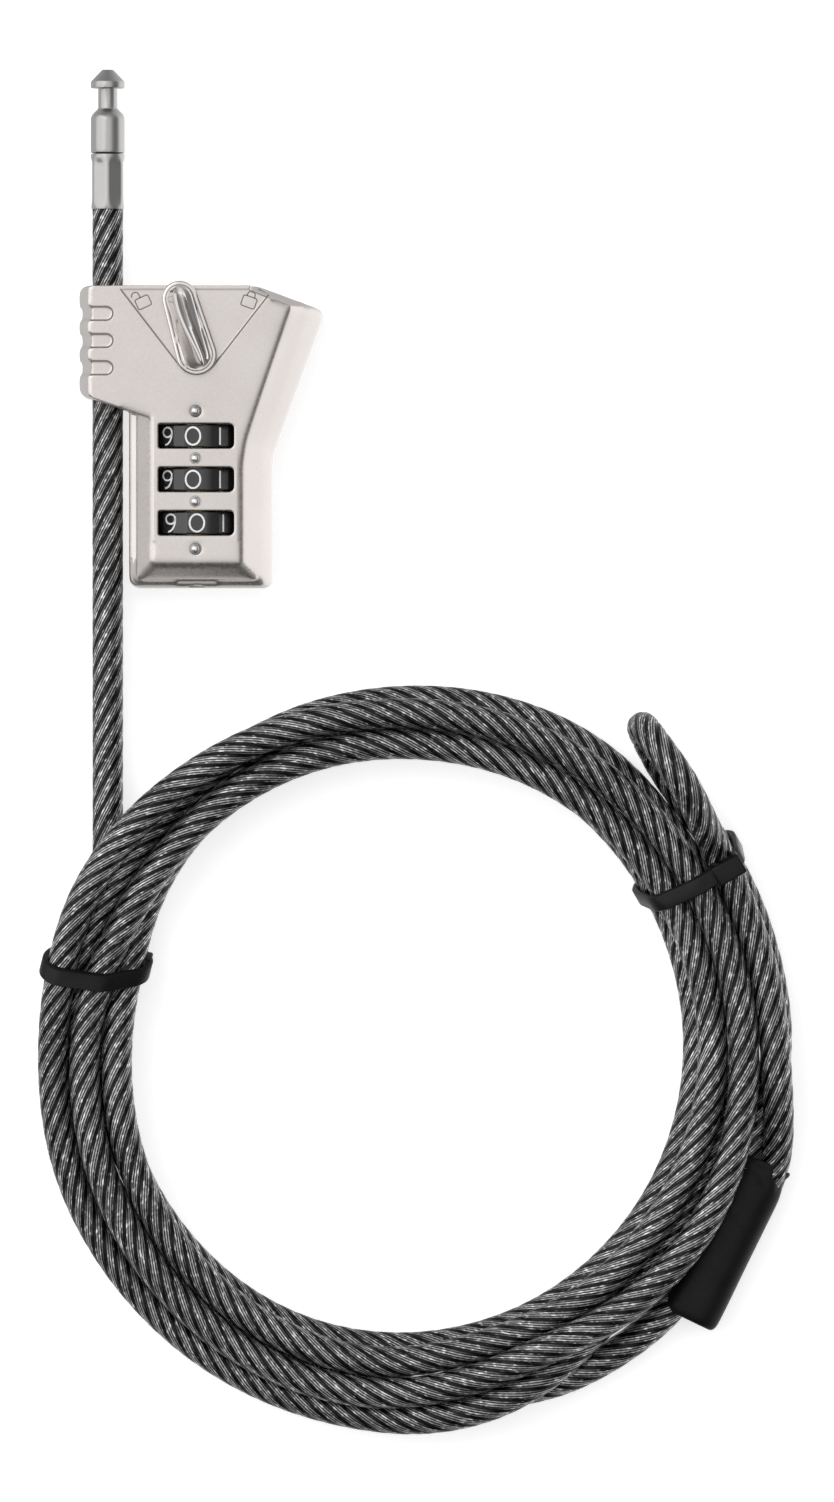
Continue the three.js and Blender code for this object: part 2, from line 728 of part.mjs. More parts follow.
function heatShrink() {
  const outer = solid(sleeveBar(SLEEVE.width, SLEEVE.height, SLEEVE.length));
  return geometryOf(cut(outer, sleeveBar(SLEEVE.width - 0.8, SLEEVE.height - 0.8, SLEEVE.length + 2)));
}
addNode("crimp_sleeve", sleeveBar(SLEEVE.width - 1.4, SLEEVE.height - 1.4, SLEEVE.length - 5), ALUMINIUM);
addNode("heat_shrink", heatShrink(), BLACK_SHRINK);

// ---- cable ties: a strap round the turns, with its locking head on one side ----
function cableTie(inner, outer, top, headOut) {
  const t = TIE_THICKNESS;
  const ring = (grow, radius) =>
    outline([
      [inner - grow, t - grow, radius],
      [outer + grow, t - grow, radius],
      [outer + grow, top + grow, radius],
      [inner - grow, top + grow, radius],
    ]);
  const strap = new THREE.Shape(ring(t, 2.6));
  strap.holes.push(new THREE.Path(ring(0, 1.6)));
  const band = new THREE.ExtrudeGeometry(strap, { depth: TIE_WIDTH, bevelEnabled: false });
  band.translate(0, 0, -TIE_WIDTH / 2).rotateX(Math.PI / 2);
  const headAt = headOut ? outer + 0.2 : inner - 3.2;
  return geometryOf(joined(band, box(headAt, headAt + 3, -2.1, 2.1, 3.4, 7.8)));
}
function placeTie(name, geometry, angle) {
  const mesh = addNode(name, geometry, BLACK_NYLON);
  mesh.rotation.z = degrees(angle);
  mesh.position.set(COIL.x, COIL.y, 0);
}
placeTie("cable_tie_1", cableTie(COIL.inner - GAP, COIL.outer + GAP, COIL.z1 + GAP, false), 164.6);
placeTie("cable_tie_2", cableTie(COIL.inner - GAP, 65, 13.4, true), 30.2);

export default root;
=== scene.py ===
"""Looks of the laptop cable lock: a satin nickel housing with three number wheels and a turn knob, and a
coated steel cable, coiled and tied, with its plug at one end and its crimped eye at the other.

Lengths are in millimetres, and pieces are scaled to metres when their meshes are made. The camera and the
stage are in metres."""
import json
from math import acos, copysign, cos, exp, hypot, pi, radians, sin, sqrt, tan

import bmesh
import bpy
import numpy as np
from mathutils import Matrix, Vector, noise

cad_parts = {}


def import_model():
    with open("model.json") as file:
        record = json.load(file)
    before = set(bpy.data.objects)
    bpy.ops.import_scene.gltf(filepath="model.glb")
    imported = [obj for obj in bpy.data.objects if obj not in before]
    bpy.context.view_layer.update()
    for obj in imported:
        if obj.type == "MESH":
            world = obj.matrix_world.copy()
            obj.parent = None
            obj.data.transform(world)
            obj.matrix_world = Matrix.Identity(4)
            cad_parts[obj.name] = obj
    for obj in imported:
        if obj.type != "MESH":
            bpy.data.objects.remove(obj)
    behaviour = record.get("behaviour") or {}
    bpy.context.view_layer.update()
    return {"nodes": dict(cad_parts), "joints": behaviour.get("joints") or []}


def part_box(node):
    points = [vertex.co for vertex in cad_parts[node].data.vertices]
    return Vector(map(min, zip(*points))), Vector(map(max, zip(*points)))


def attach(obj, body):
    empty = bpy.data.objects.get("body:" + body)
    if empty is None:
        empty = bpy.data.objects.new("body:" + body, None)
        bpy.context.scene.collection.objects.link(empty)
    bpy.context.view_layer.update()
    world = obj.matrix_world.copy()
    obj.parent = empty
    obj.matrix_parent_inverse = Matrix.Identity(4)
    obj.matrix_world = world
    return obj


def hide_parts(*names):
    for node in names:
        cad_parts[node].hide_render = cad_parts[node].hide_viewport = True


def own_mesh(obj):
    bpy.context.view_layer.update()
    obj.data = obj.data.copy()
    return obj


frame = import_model()
MM = 0.001


def node_box(node):
    """A CAD node's box in millimetres: (lowest corner, highest corner)."""
    low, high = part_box(node)
    return Vector(low) / MM, Vector(high) / MM


def joint_of(name):
    """The frame's record of a joint."""
    return next(joint for joint in frame["joints"] if joint["name"] == name)


def hinge_place(name):
    """The point that a hinge of the frame turns about, in millimetres."""
    return Vector(joint_of(name)["pos_m"]) / MM


def new_object(name, data):
    """An object with this data, added to the scene."""
    made = bpy.data.objects.new(name, data)
    bpy.context.collection.objects.link(made)
    return made


# ---- camera
# The picture's height in metres, as it is at MEASURED_LEVEL above the floor.
VIEW_HEIGHT = 0.2423
MEASURED_LEVEL = 0.010
CAMERA_X = 0.03484
CAMERA_Y = -0.05105
CAMERA_HEIGHT = 2.4
SENSOR = 36.0


def place_camera():
    """A camera straight above the lock and cable, as the photograph sees them."""
    data = bpy.data.cameras.new("photo_camera")
    data.sensor_width = SENSOR
    data.lens = SENSOR * (CAMERA_HEIGHT - MEASURED_LEVEL) / VIEW_HEIGHT
    data.clip_start = 0.01
    data.clip_end = 20
    camera = new_object("photo_camera", data)
    camera.location = (CAMERA_X, CAMERA_Y, CAMERA_HEIGHT)
    bpy.context.scene.camera = camera


place_camera()


# ---- node materials
class Nodes:
    """Short calls for the procedural nodes of a material or a world."""

    def __init__(self, tree):
        self.tree = tree

    def node(self, kind, inputs=None, **settings):
        """A shader node, its inputs set or linked and its settings set."""
        made = self.tree.nodes.new("ShaderNode" + kind)
        for key, value in settings.items():
            setattr(made, key, value)
        for key, value in (inputs or {}).items():
            if isinstance(value, bpy.types.NodeSocket):
                self.tree.links.new(value, made.inputs[key])
            else:
                made.inputs[key].default_value = value
        return made

    def noise(self, vector, scale, detail, rough=0.5):
        """Cloudy noise from 0 to 1, mostly near 0.5."""
        inputs = {"Vector": vector, "Scale": scale, "Detail": detail, "Roughness": rough}
        return self.node("TexNoise", inputs).outputs["Fac"]

    def spread(self, value, low, high, start=0.3, end=0.7):
        """value, from start to end, as a number from low to high."""
        inputs = {"Value": value, "From Min": start, "From Max": end, "To Min": low, "To Max": high}
        return self.node("MapRange", inputs).outputs["Result"]

    def ramp(self, value, *stops):
        """A colour ramp of (position, colour) stops."""
        made = self.node("ValToRGB", {"Fac": value})
        elements = made.color_ramp.elements
        while len(elements) < len(stops):
            elements.new(1.0)
        for element, (position, colour) in zip(elements, stops):
            element.position = position
            element.color = (*colour, 1.0)
        return made.outputs["Color"]

    def math(self, operation, *values):
        """The result of a Math node."""
        return self.node("Math", dict(enumerate(values)), operation=operation).outputs["Value"]

    def plus(self, one, two):
        return self.math("ADD", one, two)

    def minus(self, one, two):
        return self.math("SUBTRACT", one, two)

    def times(self, one, two):
        return self.math("MULTIPLY", one, two)


class Finish(Nodes):
    """A Principled material driven by procedural nodes."""

    def __init__(self, name, **values):
        self.material = bpy.data.materials.new(name)
        self.material.use_nodes = True
        super().__init__(self.material.node_tree)
        self.shader = self.tree.nodes["Principled BSDF"]
        for socket, value in values.items():
            self.shader.inputs[socket.replace("_", " ")].default_value = value

    def drive(self, socket, output):
        """Links a node's output to one of the shader's sockets."""
        self.tree.links.new(output, self.shader.inputs[socket])

    def place(self, stretch=(1, 1, 1)):
        """Object coordinates in millimetres, stretched."""
        coords = self.node("TexCoord").outputs["Object"]
        scale = tuple(s / MM for s in stretch)
        return self.node("Mapping", {"Vector": coords, "Scale": scale}).outputs["Vector"]

    def bump(self, height, strength, distance):
        """Bumps by a height, with its distance in millimetres."""
        inputs = {"Height": height, "Strength": strength, "Distance": distance * MM}
        self.drive("Normal", self.node("Bump", inputs).outputs["Normal"])


def grey(value):
    """A neutral colour."""
    return (value, value, value)


def cast_nickel():
    """Satin-plated die casting: a fine pebbled skin with a warm, slightly cloudy tone."""
    made = Finish("cast_nickel", Metallic=1.0)
    place = made.place()
    clouds = made.noise(place, 0.1, 3.0)
    skin = made.noise(place, 1.7, 3.0, 0.65)
    pits = made.noise(place, 4.5, 2.0)
    both = made.plus(made.times(clouds, 0.35), made.times(skin, 0.65))
    made.drive("Base Color", made.ramp(both, (0.34, (0.575, 0.535, 0.515)), (0.64, (0.655, 0.615, 0.595))))
    made.drive("Roughness", made.spread(skin, 0.24, 0.38))
    made.bump(made.plus(skin, made.times(pits, 0.5)), 0.35, 0.03)
    return made.material


def metal(name, colour, rough, grain=0.15, stretch=(1, 1, 1)):
    """A metal whose colour and roughness wander slightly, with a fine grain."""
    made = Finish(name, Metallic=1.0)
    place = made.place(stretch)
    clouds = made.noise(place, 0.12, 3.0)
    fine = made.noise(place, 6.0, 2.0)
    dark = tuple(0.93 * c for c in colour)
    made.drive("Base Color", made.ramp(clouds, (0.3, dark), (0.7, colour)))
    both = made.plus(made.times(clouds, 0.5), made.times(fine, 0.5))
    made.drive("Roughness", made.spread(both, rough * 0.85, rough * 1.15))
    made.bump(fine, grain, 0.01)
    return made.material


def plastic(name, colour, rough, grain=0.2, grain_scale=3.0, **values):
    """A moulded plastic or rubber with a faint mottle."""
    made = Finish(name, **values)
    place = made.place()
    clouds = made.noise(place, 0.35, 3.0)
    fine = made.noise(place, grain_scale, 3.0)
    light = tuple(1.25 * c + 0.002 for c in colour)
    made.drive("Base Color", made.ramp(clouds, (0.3, colour), (0.7, light)))
    made.drive("Roughness", made.spread(fine, rough * 0.85, rough * 1.15))
    made.bump(fine, grain, 0.02)
    return made.material


NICKEL = cast_nickel()
# Painted shade: a dark metal for strips that stand for the shade in cut lines and in the ring round each
# stud.
GROOVE_SHADE = metal("painted_groove_shade", (0.24, 0.215, 0.20), 0.5)
POLISHED = metal("polished_nickel", (0.70, 0.675, 0.66), 0.12, grain=0.04)
CHROME = metal("chrome", (0.74, 0.74, 0.74), 0.08, grain=0.02)
PLUG_STEEL = metal("plug_steel", (0.44, 0.435, 0.43), 0.32, stretch=(1, 0.2, 1))
SPRING = metal("spring_steel", (0.45, 0.45, 0.47), 0.3)
MECHANISM = metal("mechanism_steel", (0.5, 0.5, 0.5), 0.35)
BRASS = metal("mechanism_brass", (0.78, 0.57, 0.25), 0.28)
ALUMINIUM = metal("crimp_aluminium", (0.72, 0.72, 0.73), 0.35)
SCREW_STEEL = metal("screw_steel", (0.2, 0.2, 0.21), 0.3)
COAT = {"Coat_Weight": 0.6, "Coat_Roughness": 0.06}
BLACK_GLOSS = plastic("dial_black", (0.012, 0.012, 0.013), 0.18, grain=0.03, **COAT)
DIGIT_WHITE = plastic("digit_white", (0.93, 0.93, 0.93), 0.6, grain=0.05)
DEEP_BLACK = (0.003, 0.003, 0.0034)
NYLON = plastic("tie_nylon", DEEP_BLACK, 0.32, grain=0.06, Specular_IOR_Level=0.2)
SHRINK = plastic("shrink_black", DEEP_BLACK, 0.45, grain=0.5, grain_scale=2.0, Specular_IOR_Level=0.2)

# The cable's UVs are (millimetres along the cable, strands round it).
STRANDS = 7
WIRES_PER_STRAND = 5.0
WIRES_PER_MM = 0.2


def cable_finish():
    """Steel strands under a clear jacket: painted shade in the thin valleys between them, fine wires along
    each with their crests painted lighter, and painted glints on the wires.
    """
    coat = {"Coat_Weight": 0.2, "Coat_Roughness": 0.14, "Coat_IOR": 1.45}
    made = Finish("coated_cable", Metallic=0.5, Specular_IOR_Level=0.25, **coat)
    uv = made.node("UVMap", uv_map="strands").outputs["UV"]
    parts = made.node("SeparateXYZ", {"Vector": uv})
    along, around = parts.outputs["X"], parts.outputs["Y"]
    # Painted shade: the colour darkens towards each valley between the strands.
    crest = made.math("ABSOLUTE", made.minus(made.math("FRACT", around), 0.5))
    valley_shade = made.math("POWER", made.times(crest, 2.0), 4.0)
    # The wires' stripes: their pattern, with each crest painted lighter and each groove painted darker.
    turns = made.plus(made.times(around, WIRES_PER_STRAND), made.times(along, WIRES_PER_MM))
    wire = made.math("SINE", made.times(turns, 2 * pi))
    spots = made.noise(made.place(), 1.5, 3.0, 0.6)
    clouds = made.noise(made.place(), 0.12, 2.0)
    # Painted glints: bright flecks where a wire would catch the light, short runs along the wires.
    run = made.node("CombineXYZ", {"X": turns, "Y": made.times(along, 0.9)})
    painted_glints = made.spread(made.noise(run.outputs["Vector"], 1.0, 1.0), 0.0, 0.55, 0.56, 0.74)
    light = made.plus(made.plus(made.times(wire, 0.32), made.times(spots, 0.5)), painted_glints)
    tone = made.minus(made.plus(light, made.times(clouds, 0.3)), made.times(valley_shade, 1.3))
    stops = ((0.0, grey(0.002)), (0.22, grey(0.035)), (0.55, grey(0.20)), (0.9, grey(0.95)))
    made.drive("Base Color", made.ramp(tone, *stops))
    made.drive("Roughness", made.spread(spots, 0.40, 0.28))
    made.bump(made.plus(made.times(wire, 0.35), made.times(spots, 0.4)), 0.45, 0.07)
    return made.material


CABLE = cable_finish()


# ---- mesh building
def framed(name, mesh, body, slot, stands_for=()):
    """An object that rides on a body and hides the CAD nodes stands_for, which it replaces; slot is not used.
    """
    made = new_object(name, mesh)
    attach(made, body)
    if stands_for:
        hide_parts(*stands_for)
    return made


def piece(name, points, faces, material, body, slot, stands_for=(), smooth=True):
    """A framed object made from points in millimetres and faces."""
    mesh = bpy.data.meshes.new(name)
    mesh.from_pydata([tuple(c * MM for c in point) for point in points], [], faces)
    mesh.materials.append(material)
    mesh.polygons.foreach_set("use_smooth", [smooth] * len(mesh.polygons))
    return framed(name, mesh, body, slot, stands_for)


def loft(rings, close_ends=True):
    """Faces over rings of equal length, each ring a closed loop of points. Returns (points, faces)."""
    count = len(rings[0])
    points = [tuple(point) for ring in rings for point in ring]
    faces = []
    for i in range(len(rings) - 1):
        for j in range(count):
            k = (j + 1) % count
            faces.append((i * count + j, i * count + k, (i + 1) * count + k, (i + 1) * count + j))
    if close_ends:
        faces.append(tuple(reversed(range(count))))
        last = (len(rings) - 1) * count
        faces.append(tuple(range(last, last + count)))
    return points, faces


def closed_loft(rings):
    """Faces over rings that run round in a circle, the last joined to the first. Returns (points, faces)."""
    points, faces = loft(rings + rings[:1], close_ends=False)
    kept = len(rings) * len(rings[0])
    return points[:kept], [tuple(i % kept for i in face) for face in faces]


def joined(parts):
    """Several (points, faces) as one."""
    points, faces = [], []
    for more_points, more_faces in parts:
        faces += [tuple(i + len(points) for i in face) for face in more_faces]
        points += list(more_points)
    return points, faces


def ribbon(path, width, low, high, closed=False):
    """A flat strip along a path in the (x, y) plane, from height low to height high."""
    path = np.asarray(path, float)
    if closed:
        before, after = np.roll(path, 1, axis=0), np.roll(path, -1, axis=0)
    else:
        before, after = np.vstack([path[:1], path[:-1]]), np.vstack([path[1:], path[-1:]])
    step = after - before
    step /= np.linalg.norm(step, axis=1)[:, None]
    across = np.stack([-step[:, 1], step[:, 0]], axis=1) * width / 2
    rings = []
    for centre, side in zip(path, across):
        left, right = centre + side, centre - side
        rings.append([(*left, low), (*right, low), (*right, high), (*left, high)])
    return closed_loft(rings) if closed else loft(rings)


def arc(x, y, across, up, start, end, steps=20):
    """Points on an ellipse's arc, its angles in degrees."""
    turns = np.radians(np.linspace(start, end, steps + 1))
    return [(x + across * cos(turn), y + up * sin(turn)) for turn in turns]


def rotated(a, b, turn):
    """The point (a, b) turned about the origin."""
    return a * cos(turn) - b * sin(turn), a * sin(turn) + b * cos(turn)


def outward(points, faces):
    """The same faces, turned so that the solid's normals point out."""
    made = bmesh.new()
    verts = [made.verts.new(point) for point in points]
    for face in faces:
        made.faces.new([verts[i] for i in face])
    bmesh.ops.recalc_face_normals(made, faces=made.faces)
    made.verts.index_update()
    turned = [tuple(v.index for v in face.verts) for face in made.faces]
    made.free()
    return turned


def solid(name, shape, material, body, slot, stands_for=(), smooth=True, sharp=None):
    """A piece from a closed (points, faces), with its normals out and edges over sharp degrees hard."""
    points, faces = shape
    made = piece(name, points, outward(points, faces), material, body, slot, stands_for, smooth)
    if sharp:
        made.data.set_sharp_from_angle(angle=radians(sharp))
    return made


# ---- the cable's route
CABLE_D = 5.0
CABLE_REST = 3.8
BARREL_X = -15.16
BARREL_Z = 4.6
LEAD_ROUTE = [
    (BARREL_X, y, z)
    for y, z in (
        (36.9, BARREL_Z), (24, BARREL_Z), (10, BARREL_Z), (-4, BARREL_Z), (-18, BARREL_Z),
        (-34, 4.3), (-48, 3.9), (-61.3, CABLE_REST), (-76, CABLE_REST), (-88, CABLE_REST),
    )
]
EYE_ROUTE = [
    (88.7, -115.3, 3.8), (90.6, -110, 3.8), (92.4, -104.5, 3.8), (93.2, -98.2, 3.8),
    (92.7, -91.6, 3.8), (90.9, -83, 3.8), (88, -74.8, 3.8), (84, -67.2, 3.8),
    (79.2, -60.4, 3.5), (75, -54.9, 3), (73.1, -51.2, 4), (71.6, -48.4, 6.6),
    (70.8, -46.6, 12.4), (72.2, -48.2, 18.2), (74, -51.2, 20.8), (76.9, -54.6, 21.8),
    (78.3, -57.3, 21.3), (79.6, -60, 19.8), (81.1, -63, 15.4), (82.6, -65.9, 11),
    (84, -68.6, 9.5), (85.3, -71.3, 9), (89, -80.7, 8.9), (91.2, -88, 8.9),
    (92.4, -96, 8.9), (92.9, -103, 8.9), (93.3, -110.5, 7.3), (93.1, -117.4, 3.8),
]
SLEEVE = Vector((84.6, -130.1, 3.8))
SLEEVE_TURN = radians(-26.1)
SLEEVE_ALONG = Vector((-sin(SLEEVE_TURN), cos(SLEEVE_TURN), 0))
SLEEVE_ACROSS = Vector((cos(SLEEVE_TURN), sin(SLEEVE_TURN), 0))
SLEEVE_LENGTH = 28.8
# The two legs in the sleeve lie this far either side of its middle line.
LEG_OFFSET = 2.4
# The coil's end runs through the sleeve from and to points this far inside its ends. The eye's other leg
# comes in at TAIL_FROM inside the far end and stops TAIL_TO inside the near one.
LEG_INSET = 1.5
TAIL_FROM = 2.5
TAIL_TO = 3.0

COIL_CENTRE = Vector((32.3, -100.4, 0))
COIL_STRETCH = 1.033
COIL_START = 180
COIL_END = 1752
COIL_STEP = 4
# The turns one after another, as (angle round the coil in degrees, radius, height): the first runs under the
# rest, the second and third lie on top, and the last goes back to the floor and out into the sleeve.
COIL_TURNS = [
    (180, 47.46, 3.8), (225, 46.4, 3.8), (270, 45.8, 3.8), (315, 46.6, 3.8), (360, 48.2, 3.8),
    (405, 49.6, 3.8), (440, 50.7, 3.8), (470, 50.9, 3.8), (490, 50.2, 3.8), (505, 49.2, 4.6),
    (518, 48.2, 6.4), (530, 47.1, 8.3), (540, 46.5, 8.7), (585, 47.2, 8.5), (630, 48.3, 8.2),
    (645, 47.0, 8.3), (675, 48.4, 8.3), (720, 50.7, 8.4), (745, 50.6, 8.4), (765, 50.1, 8.4),
    (810, 49.2, 8.6), (855, 49.3, 8.9), (870, 49.2, 9.4), (885, 49.9, 9.8), (900, 51.1, 8.8),
    (945, 52.2, 8.6), (990, 53.3, 8.3), (1005, 51.6, 8.5), (1015, 50.9, 11.2), (1025, 52.7, 11.0),
    (1035, 54.0, 9.4), (1053, 55.9, 9.9), (1080, 55.4, 9.9), (1140, 54.2, 9.8), (1170, 53.2, 9.4),
    (1206, 55.2, 10.2), (1227, 56.8, 12.6), (1240, 56.5, 12.0), (1252, 56.0, 8.6), (1260, 55.9, 7.6),
    (1280, 56.5, 5.2), (1295, 56.2, 3.9), (1340, 56.0, 4.6), (1350, 56.2, 6.4), (1365, 56.6, 8.4),
    (1375, 54.8, 8.6), (1385, 52.6, 6.0), (1395, 51.8, 4.0), (1425, 52.8, 3.8), (1434, 55.2, 3.8),
    (1441, 56.1, 3.8), (1455, 56.0, 3.8), (1480, 56.2, 3.8), (1490, 57.3, 3.8), (1500, 57.3, 3.8),
    (1515, 56.4, 3.8), (1530, 55.4, 3.8), (1548, 54.4, 3.8), (1562, 53.5, 4.2), (1578, 53.3, 6.3),
    (1590, 53.7, 8.7), (1598, 53.6, 8.2), (1605, 53.4, 6.3), (1620, 52.7, 3.8), (1665, 51.2, 3.8),
    (1695, 51.2, 3.8), (1710, 52.0, 3.8), (1725, 54.4, 3.8), (1740, 56.7, 3.8), (1752, 58.7, 3.8),
]
# How many steps each side the radius and the height are smoothed over.
RADIUS_REACH = 4
HEIGHT_REACH = 3


def smoothed(values, reach):
    """values with a bell-shaped average over reach samples each side, its ends held."""
    window = np.exp(-0.5 * (np.arange(-reach, reach + 1) / (0.45 * reach)) ** 2)
    padded = np.concatenate([[values[0]] * reach, values, [values[-1]] * reach])
    return np.convolve(padded, window / window.sum(), "valid")


def coil_route():
    """The coil's centreline, from where the lead joins it to where it leaves for the sleeve."""
    keys = np.array(COIL_TURNS)
    angles = np.arange(COIL_START, COIL_END + 1, COIL_STEP)
    radii = smoothed(np.interp(angles, keys[:, 0], keys[:, 1]), RADIUS_REACH)
    heights = smoothed(np.interp(angles, keys[:, 0], keys[:, 2]), HEIGHT_REACH)
    turn = np.radians(angles)
    x = COIL_CENTRE.x + radii * np.cos(turn)
    y = COIL_CENTRE.y + COIL_STRETCH * radii * np.sin(turn)
    return np.stack([x, y, heights], axis=1)


def in_sleeve(across, start, end, count):
    """Points along the sleeve at an offset across it; start and end are from its middle."""
    beside = SLEEVE + across * SLEEVE_ACROSS
    return [tuple(beside + (start + (end - start) * i / (count - 1)) * SLEEVE_ALONG) for i in range(count)]


def distances(line):
    """How far each point of a line lies along it."""
    return np.concatenate([[0], np.cumsum(np.linalg.norm(np.diff(line, axis=0), axis=1))])


def evenly(line, count, endpoint=True):
    """count points evenly spaced along a line."""
    reach = distances(line)
    even = np.linspace(0, reach[-1], count, endpoint=endpoint)
    return np.stack([np.interp(even, reach, column) for column in line.T], axis=1)


def resampled(points, spacing):
    """Points evenly spaced along a Catmull-Rom curve through points."""
    points = np.asarray(points, float)
    ends = np.vstack([2 * points[0] - points[1], points, 2 * points[-1] - points[-2]])
    steps = 12
    fine = []
    for a, b, c, d in zip(ends[:-3], ends[1:-2], ends[2:-1], ends[3:]):
        for t in np.arange(steps) / steps:
            fine.append(
                b
                + 0.5 * (c - a) * t
                + (a - 2.5 * b + 2 * c - 0.5 * d) * t * t
                + (1.5 * b - 1.5 * c + 0.5 * d - 0.5 * a) * t ** 3
            )
    fine.append(points[-1])
    fine = np.array(fine)
    return evenly(fine, round(distances(fine)[-1] / spacing) + 1)


# Points within NEIGHBOURS gaps along the line don't push each other. One round takes away PUSH of an overlap
# and keeps EASE_BACK of the whole shift.
NEIGHBOURS = 3.2
PUSH = 0.55
EASE_BACK = 0.996


def settled(points, loose, gap, floor, rounds=160):
    """Pushes turns apart that lie closer than gap, keeps them above floor and keeps the line smooth.

    loose is 1 where a point may move and 0 where it is held."""
    guide = points.copy()
    moved = np.zeros_like(points)
    spacing = np.linalg.norm(points[1] - points[0])
    near = int(NEIGHBOURS * gap / spacing)
    rows = np.arange(len(points))
    neighbours = np.abs(rows[:, None] - rows[None, :]) <= near
    for _ in range(rounds):
        place = guide + moved
        offset = place[:, None, :] - place[None, :, :]
        distance = np.sqrt((offset ** 2).sum(axis=2)) + 1e-9
        overlap = np.clip(gap - distance, 0, None)
        overlap[neighbours] = 0
        push = (offset / distance[..., None] * overlap[..., None]).sum(axis=1)
        touching = np.maximum((overlap > 0).sum(axis=1), 1)
        moved += PUSH * push / touching[:, None]
        padded = np.vstack([moved[:1], moved, moved[-1:]])
        moved = 0.5 * moved + 0.25 * (padded[:-2] + padded[2:])
        moved *= EASE_BACK
        moved[:, 2] = np.maximum(moved[:, 2], floor - guide[:, 2])
        moved *= loose[:, None]
    return guide + moved


ROUTE_STEP = 2.5
TURN_GAP = CABLE_D + 0.08


def cable_route():
    """The whole centreline: lead, coil, through the sleeve, round the eye and back into the sleeve."""
    half = SLEEVE_LENGTH / 2
    through = in_sleeve(-LEG_OFFSET, LEG_INSET - half, half - LEG_INSET, 7)
    tail = in_sleeve(LEG_OFFSET, half - TAIL_FROM, TAIL_TO - half, 6)
    whole = resampled(LEAD_ROUTE + list(coil_route()) + through + EYE_ROUTE + tail, ROUTE_STEP)
    for _ in range(4):
        whole[1:-1] = 0.5 * whole[1:-1] + 0.25 * (whole[:-2] + whole[2:])
    held_start = np.linalg.norm(whole - np.array(LEAD_ROUTE[-1]), axis=1).argmin()
    held_end = np.linalg.norm(whole - np.array(through[0]), axis=1).argmin()
    loose = np.ones(len(whole))
    loose[:held_start] = 0
    loose[held_end:] = 0
    return settled(whole, loose, TURN_GAP, CABLE_REST)


ROUTE = cable_route()

# ---- the cable
LAY_LENGTH = 25.0
RING_STEP = 0.8
PER_STRAND = 6
VALLEY_DEPTH = 0.16


def rings_round(line, radius, angle):
    """Rings round a line, without twist, from arrays of each corner's radius and angle."""
    tangents = np.gradient(line, axis=0)
    tangents /= np.linalg.norm(tangents, axis=1)[:, None]
    side = np.array([1.0, 0, 0])
    sides = []
    for tangent in tangents:
        side = side - tangent * side.dot(tangent)
        side /= np.linalg.norm(side)
        sides.append(side)
    sides = np.array(sides)
    ups = np.cross(tangents, sides)
    sideways = (radius * np.cos(angle))[..., None] * sides[:, None, :]
    upwards = (radius * np.sin(angle))[..., None] * ups[:, None, :]
    return list(line[:, None, :] + sideways + upwards)


def cable_mesh():
    """A tube of seven strands that wind round it, with the strands' own coordinates as its UVs."""
    line = resampled(ROUTE, RING_STEP)
    count = STRANDS * PER_STRAND
    around = np.arange(count)
    phase = np.abs(((around % PER_STRAND) / PER_STRAND) * 2 - 1)  # 1 in a valley, 0 on a crest
    radius = CABLE_D / 2 - VALLEY_DEPTH * phase ** 4
    travelled = np.arange(len(line)) * RING_STEP
    angle = around[None, :] * 2 * pi / count + 2 * pi * travelled[:, None] / LAY_LENGTH
    points, faces = loft(rings_round(line, radius, angle))
    nodes = ("cable_lead", "cable_coil", "cable_eye")
    made = piece("cable", points, faces, CABLE, "cable", "cable", nodes)
    layer = made.data.uv_layers.new(name="strands")
    values = []
    for start, end in zip(travelled, travelled[1:]):
        for j in range(count):
            low, high = j / PER_STRAND, (j + 1) / PER_STRAND
            values += [start, low, start, high, end, high, end, low]
    values += [0.0] * (2 * len(layer.data) - len(values))
    layer.data.foreach_set("uv", values)
    return made


cable = cable_mesh()

# ---- heat-shrink over the crimped sleeve
SHRINK_HALF_WIDTH = 5.2
SHRINK_HALF_HEIGHT = 3.5
# How square the tubing's outline is sideways and upwards: 2 is an ellipse.
SHRINK_SQUARE = (2.6, 2.1)
# The wrinkled collar begins this far from the sleeve's middle and takes this long to reach its full depth.
COLLAR_START = 8.5
COLLAR_GROWTH = 3.0
WRINKLES = 9
# The wall, as shares of the half width and the half height.
SHRINK_WALL = (0.085, 0.11)
# (distance along the sleeve, share of the full width, share of the full height)
SHRINK_STATIONS = [
    (-14.2, 0.86, 0.80), (-13.9, 0.92, 0.86), (-13.4, 0.975, 0.94), (-12.4, 1.0, 0.99),
    (-9.0, 1.0, 1.0), (-4.0, 0.99, 1.0), (2.0, 1.0, 1.0), (7.0, 1.0, 1.0),
    (9.6, 1.0, 1.0), (10.6, 0.97, 0.99), (11.4, 0.91, 0.93), (12.1, 0.88, 0.86),
    (12.7, 0.88, 0.84), (13.3, 0.92, 0.85), (13.8, 0.94, 0.86), (14.2, 0.93, 0.85),
]


def squared(value, power):
    """A sine or cosine pushed outwards, so that a circle made from it grows corners."""
    return copysign(abs(value) ** (2 / power), value)


